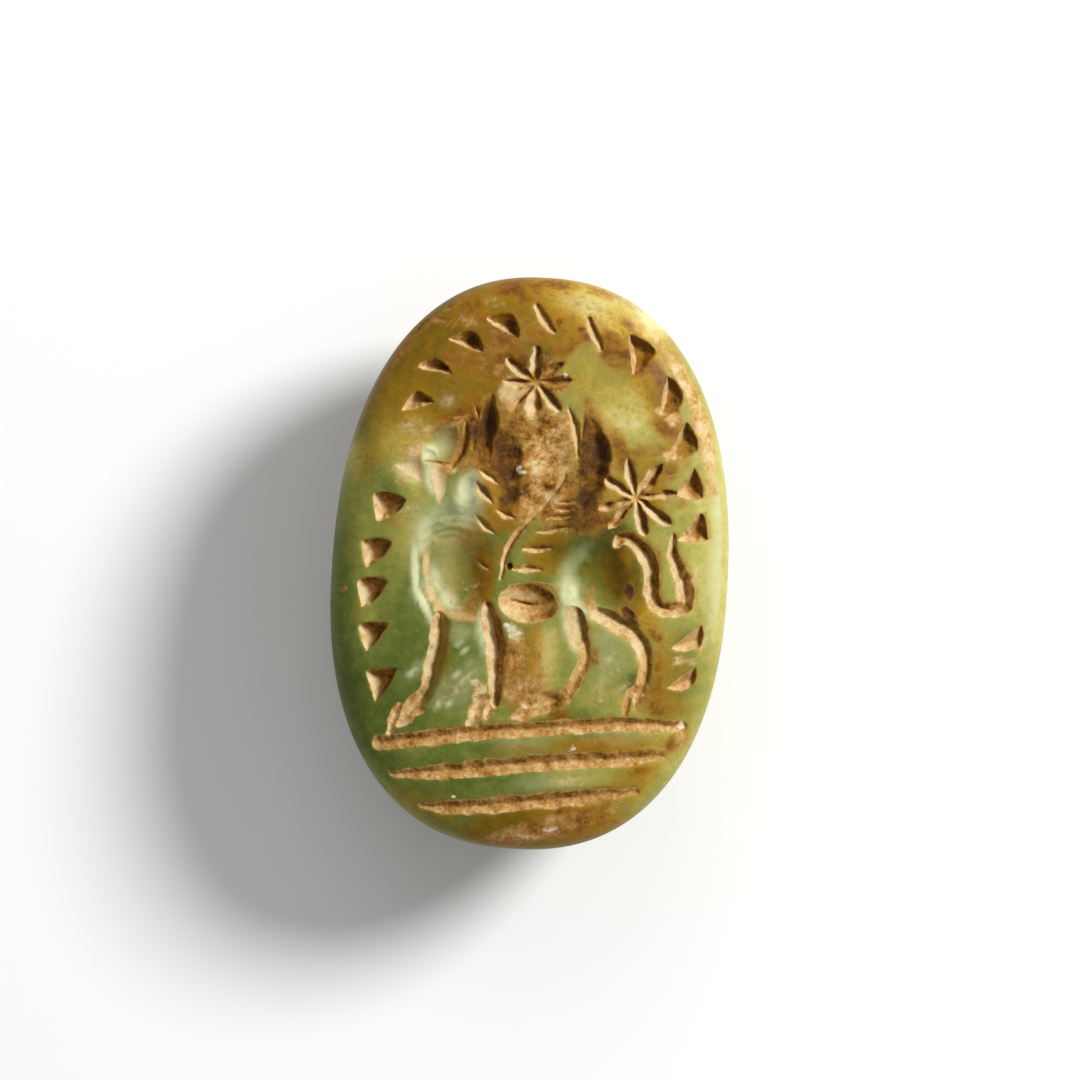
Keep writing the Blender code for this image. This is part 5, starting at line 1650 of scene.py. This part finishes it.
@dataclass(frozen=True)
class Studio:
    """The pale floor, the soft lights and the camera straight over the engraved face.

    Attributes:
        camera_height: How high the camera stands, in metres.
        frame_width: How much of the level below the picture spans, in metres.
        level: The height of that level, in metres.
        picture_turn: How far the picture is turned against the bead, in degrees.
        offset: Where the middle of the picture lies, along the picture's own axes, in metres.
    """

    camera_height: float = 0.35
    frame_width: float = 0.054
    level: float = 0.0105
    picture_turn: float = 3.6
    offset: tuple[float, float] = (0.48 * MM, 1.17 * MM)

    def floor(self) -> bpy.types.Object:
        """Return the floor."""
        shape = bmesh.new()
        bmesh.ops.create_grid(shape, x_segments=1, y_segments=1, size=3.0)
        floor = mesh_object("floor", shape)
        material = bpy.data.materials.new("pale floor")
        material.use_nodes = True
        shader = material.node_tree.nodes["Principled BSDF"]
        shader.inputs["Base Color"].default_value = paint(243, 243, 243)
        shader.inputs["Roughness"].default_value = 0.9
        floor.data.materials.append(material)
        return floor

    def light(self, name: str, place: tuple[float, float, float], size: float, watts: float) -> None:
        """Add one soft light that points at the bead."""
        lamp = bpy.data.lights.new(name, "AREA")
        lamp.shape = "DISK"
        lamp.size = size
        lamp.energy = watts
        holder = bpy.data.objects.new(name, lamp)
        holder.location = place
        holder.rotation_euler = Vector(place).to_track_quat("Z", "Y").to_euler()
        bpy.context.scene.collection.objects.link(holder)

    def lights(self) -> None:
        """Add the lights and the even glow of the room."""
        self.light("key", (0.4, 0.28, 0.4), 0.2, 4.6)
        self.light("fill", (-0.1, 0.5, 0.5), 0.5, 0.6)
        world = bpy.data.worlds.new("room")
        world.use_nodes = True
        glow = world.node_tree.nodes["Background"]
        glow.inputs["Color"].default_value = (1.0, 1.0, 1.0, 1.0)
        glow.inputs["Strength"].default_value = 0.36
        bpy.context.scene.world = world
        bpy.context.scene.view_settings.view_transform = "Standard"

    def camera(self) -> None:
        """Stand the camera over the bead."""
        lens = bpy.data.cameras.new("camera")
        lens.sensor_width = 36.0
        lens.lens = 36.0 * (self.camera_height - self.level) / self.frame_width
        turn = math.radians(self.picture_turn)
        right, up = self.offset
        holder = bpy.data.objects.new("camera", lens)
        x = right * math.cos(turn) - up * math.sin(turn)
        y = right * math.sin(turn) + up * math.cos(turn)
        holder.location = (x, y, self.camera_height)
        holder.rotation_euler = (0.0, 0.0, turn)
        bpy.context.scene.collection.objects.link(holder)
        bpy.context.scene.camera = holder


def main() -> None:
    """Build the bead, its finish and the studio."""
    logging.basicConfig(level=logging.INFO, format="%(message)s")
    low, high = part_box(NODE)
    form = SealForm(
        half_width=(high.x - low.x) / 2 / MM - 0.03,
        half_length=(high.y - low.y) / 2 / MM - 0.02,
        thickness=(high.z - low.z) / MM - 0.01,
    )
    stone = StoneBuilder(form, Engraving()).build()
    stone.data.materials.append(StoneFinish().build())
    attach(stone, BODY)
    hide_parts(NODE)
    LOG.info("%s: %d faces", stone.name, len(stone.data.polygons))
    studio = Studio()
    studio.floor()
    studio.lights()
    studio.camera()
    LOG.info("floor, lights and camera stand ready")


if __name__ == "__main__":
    main()
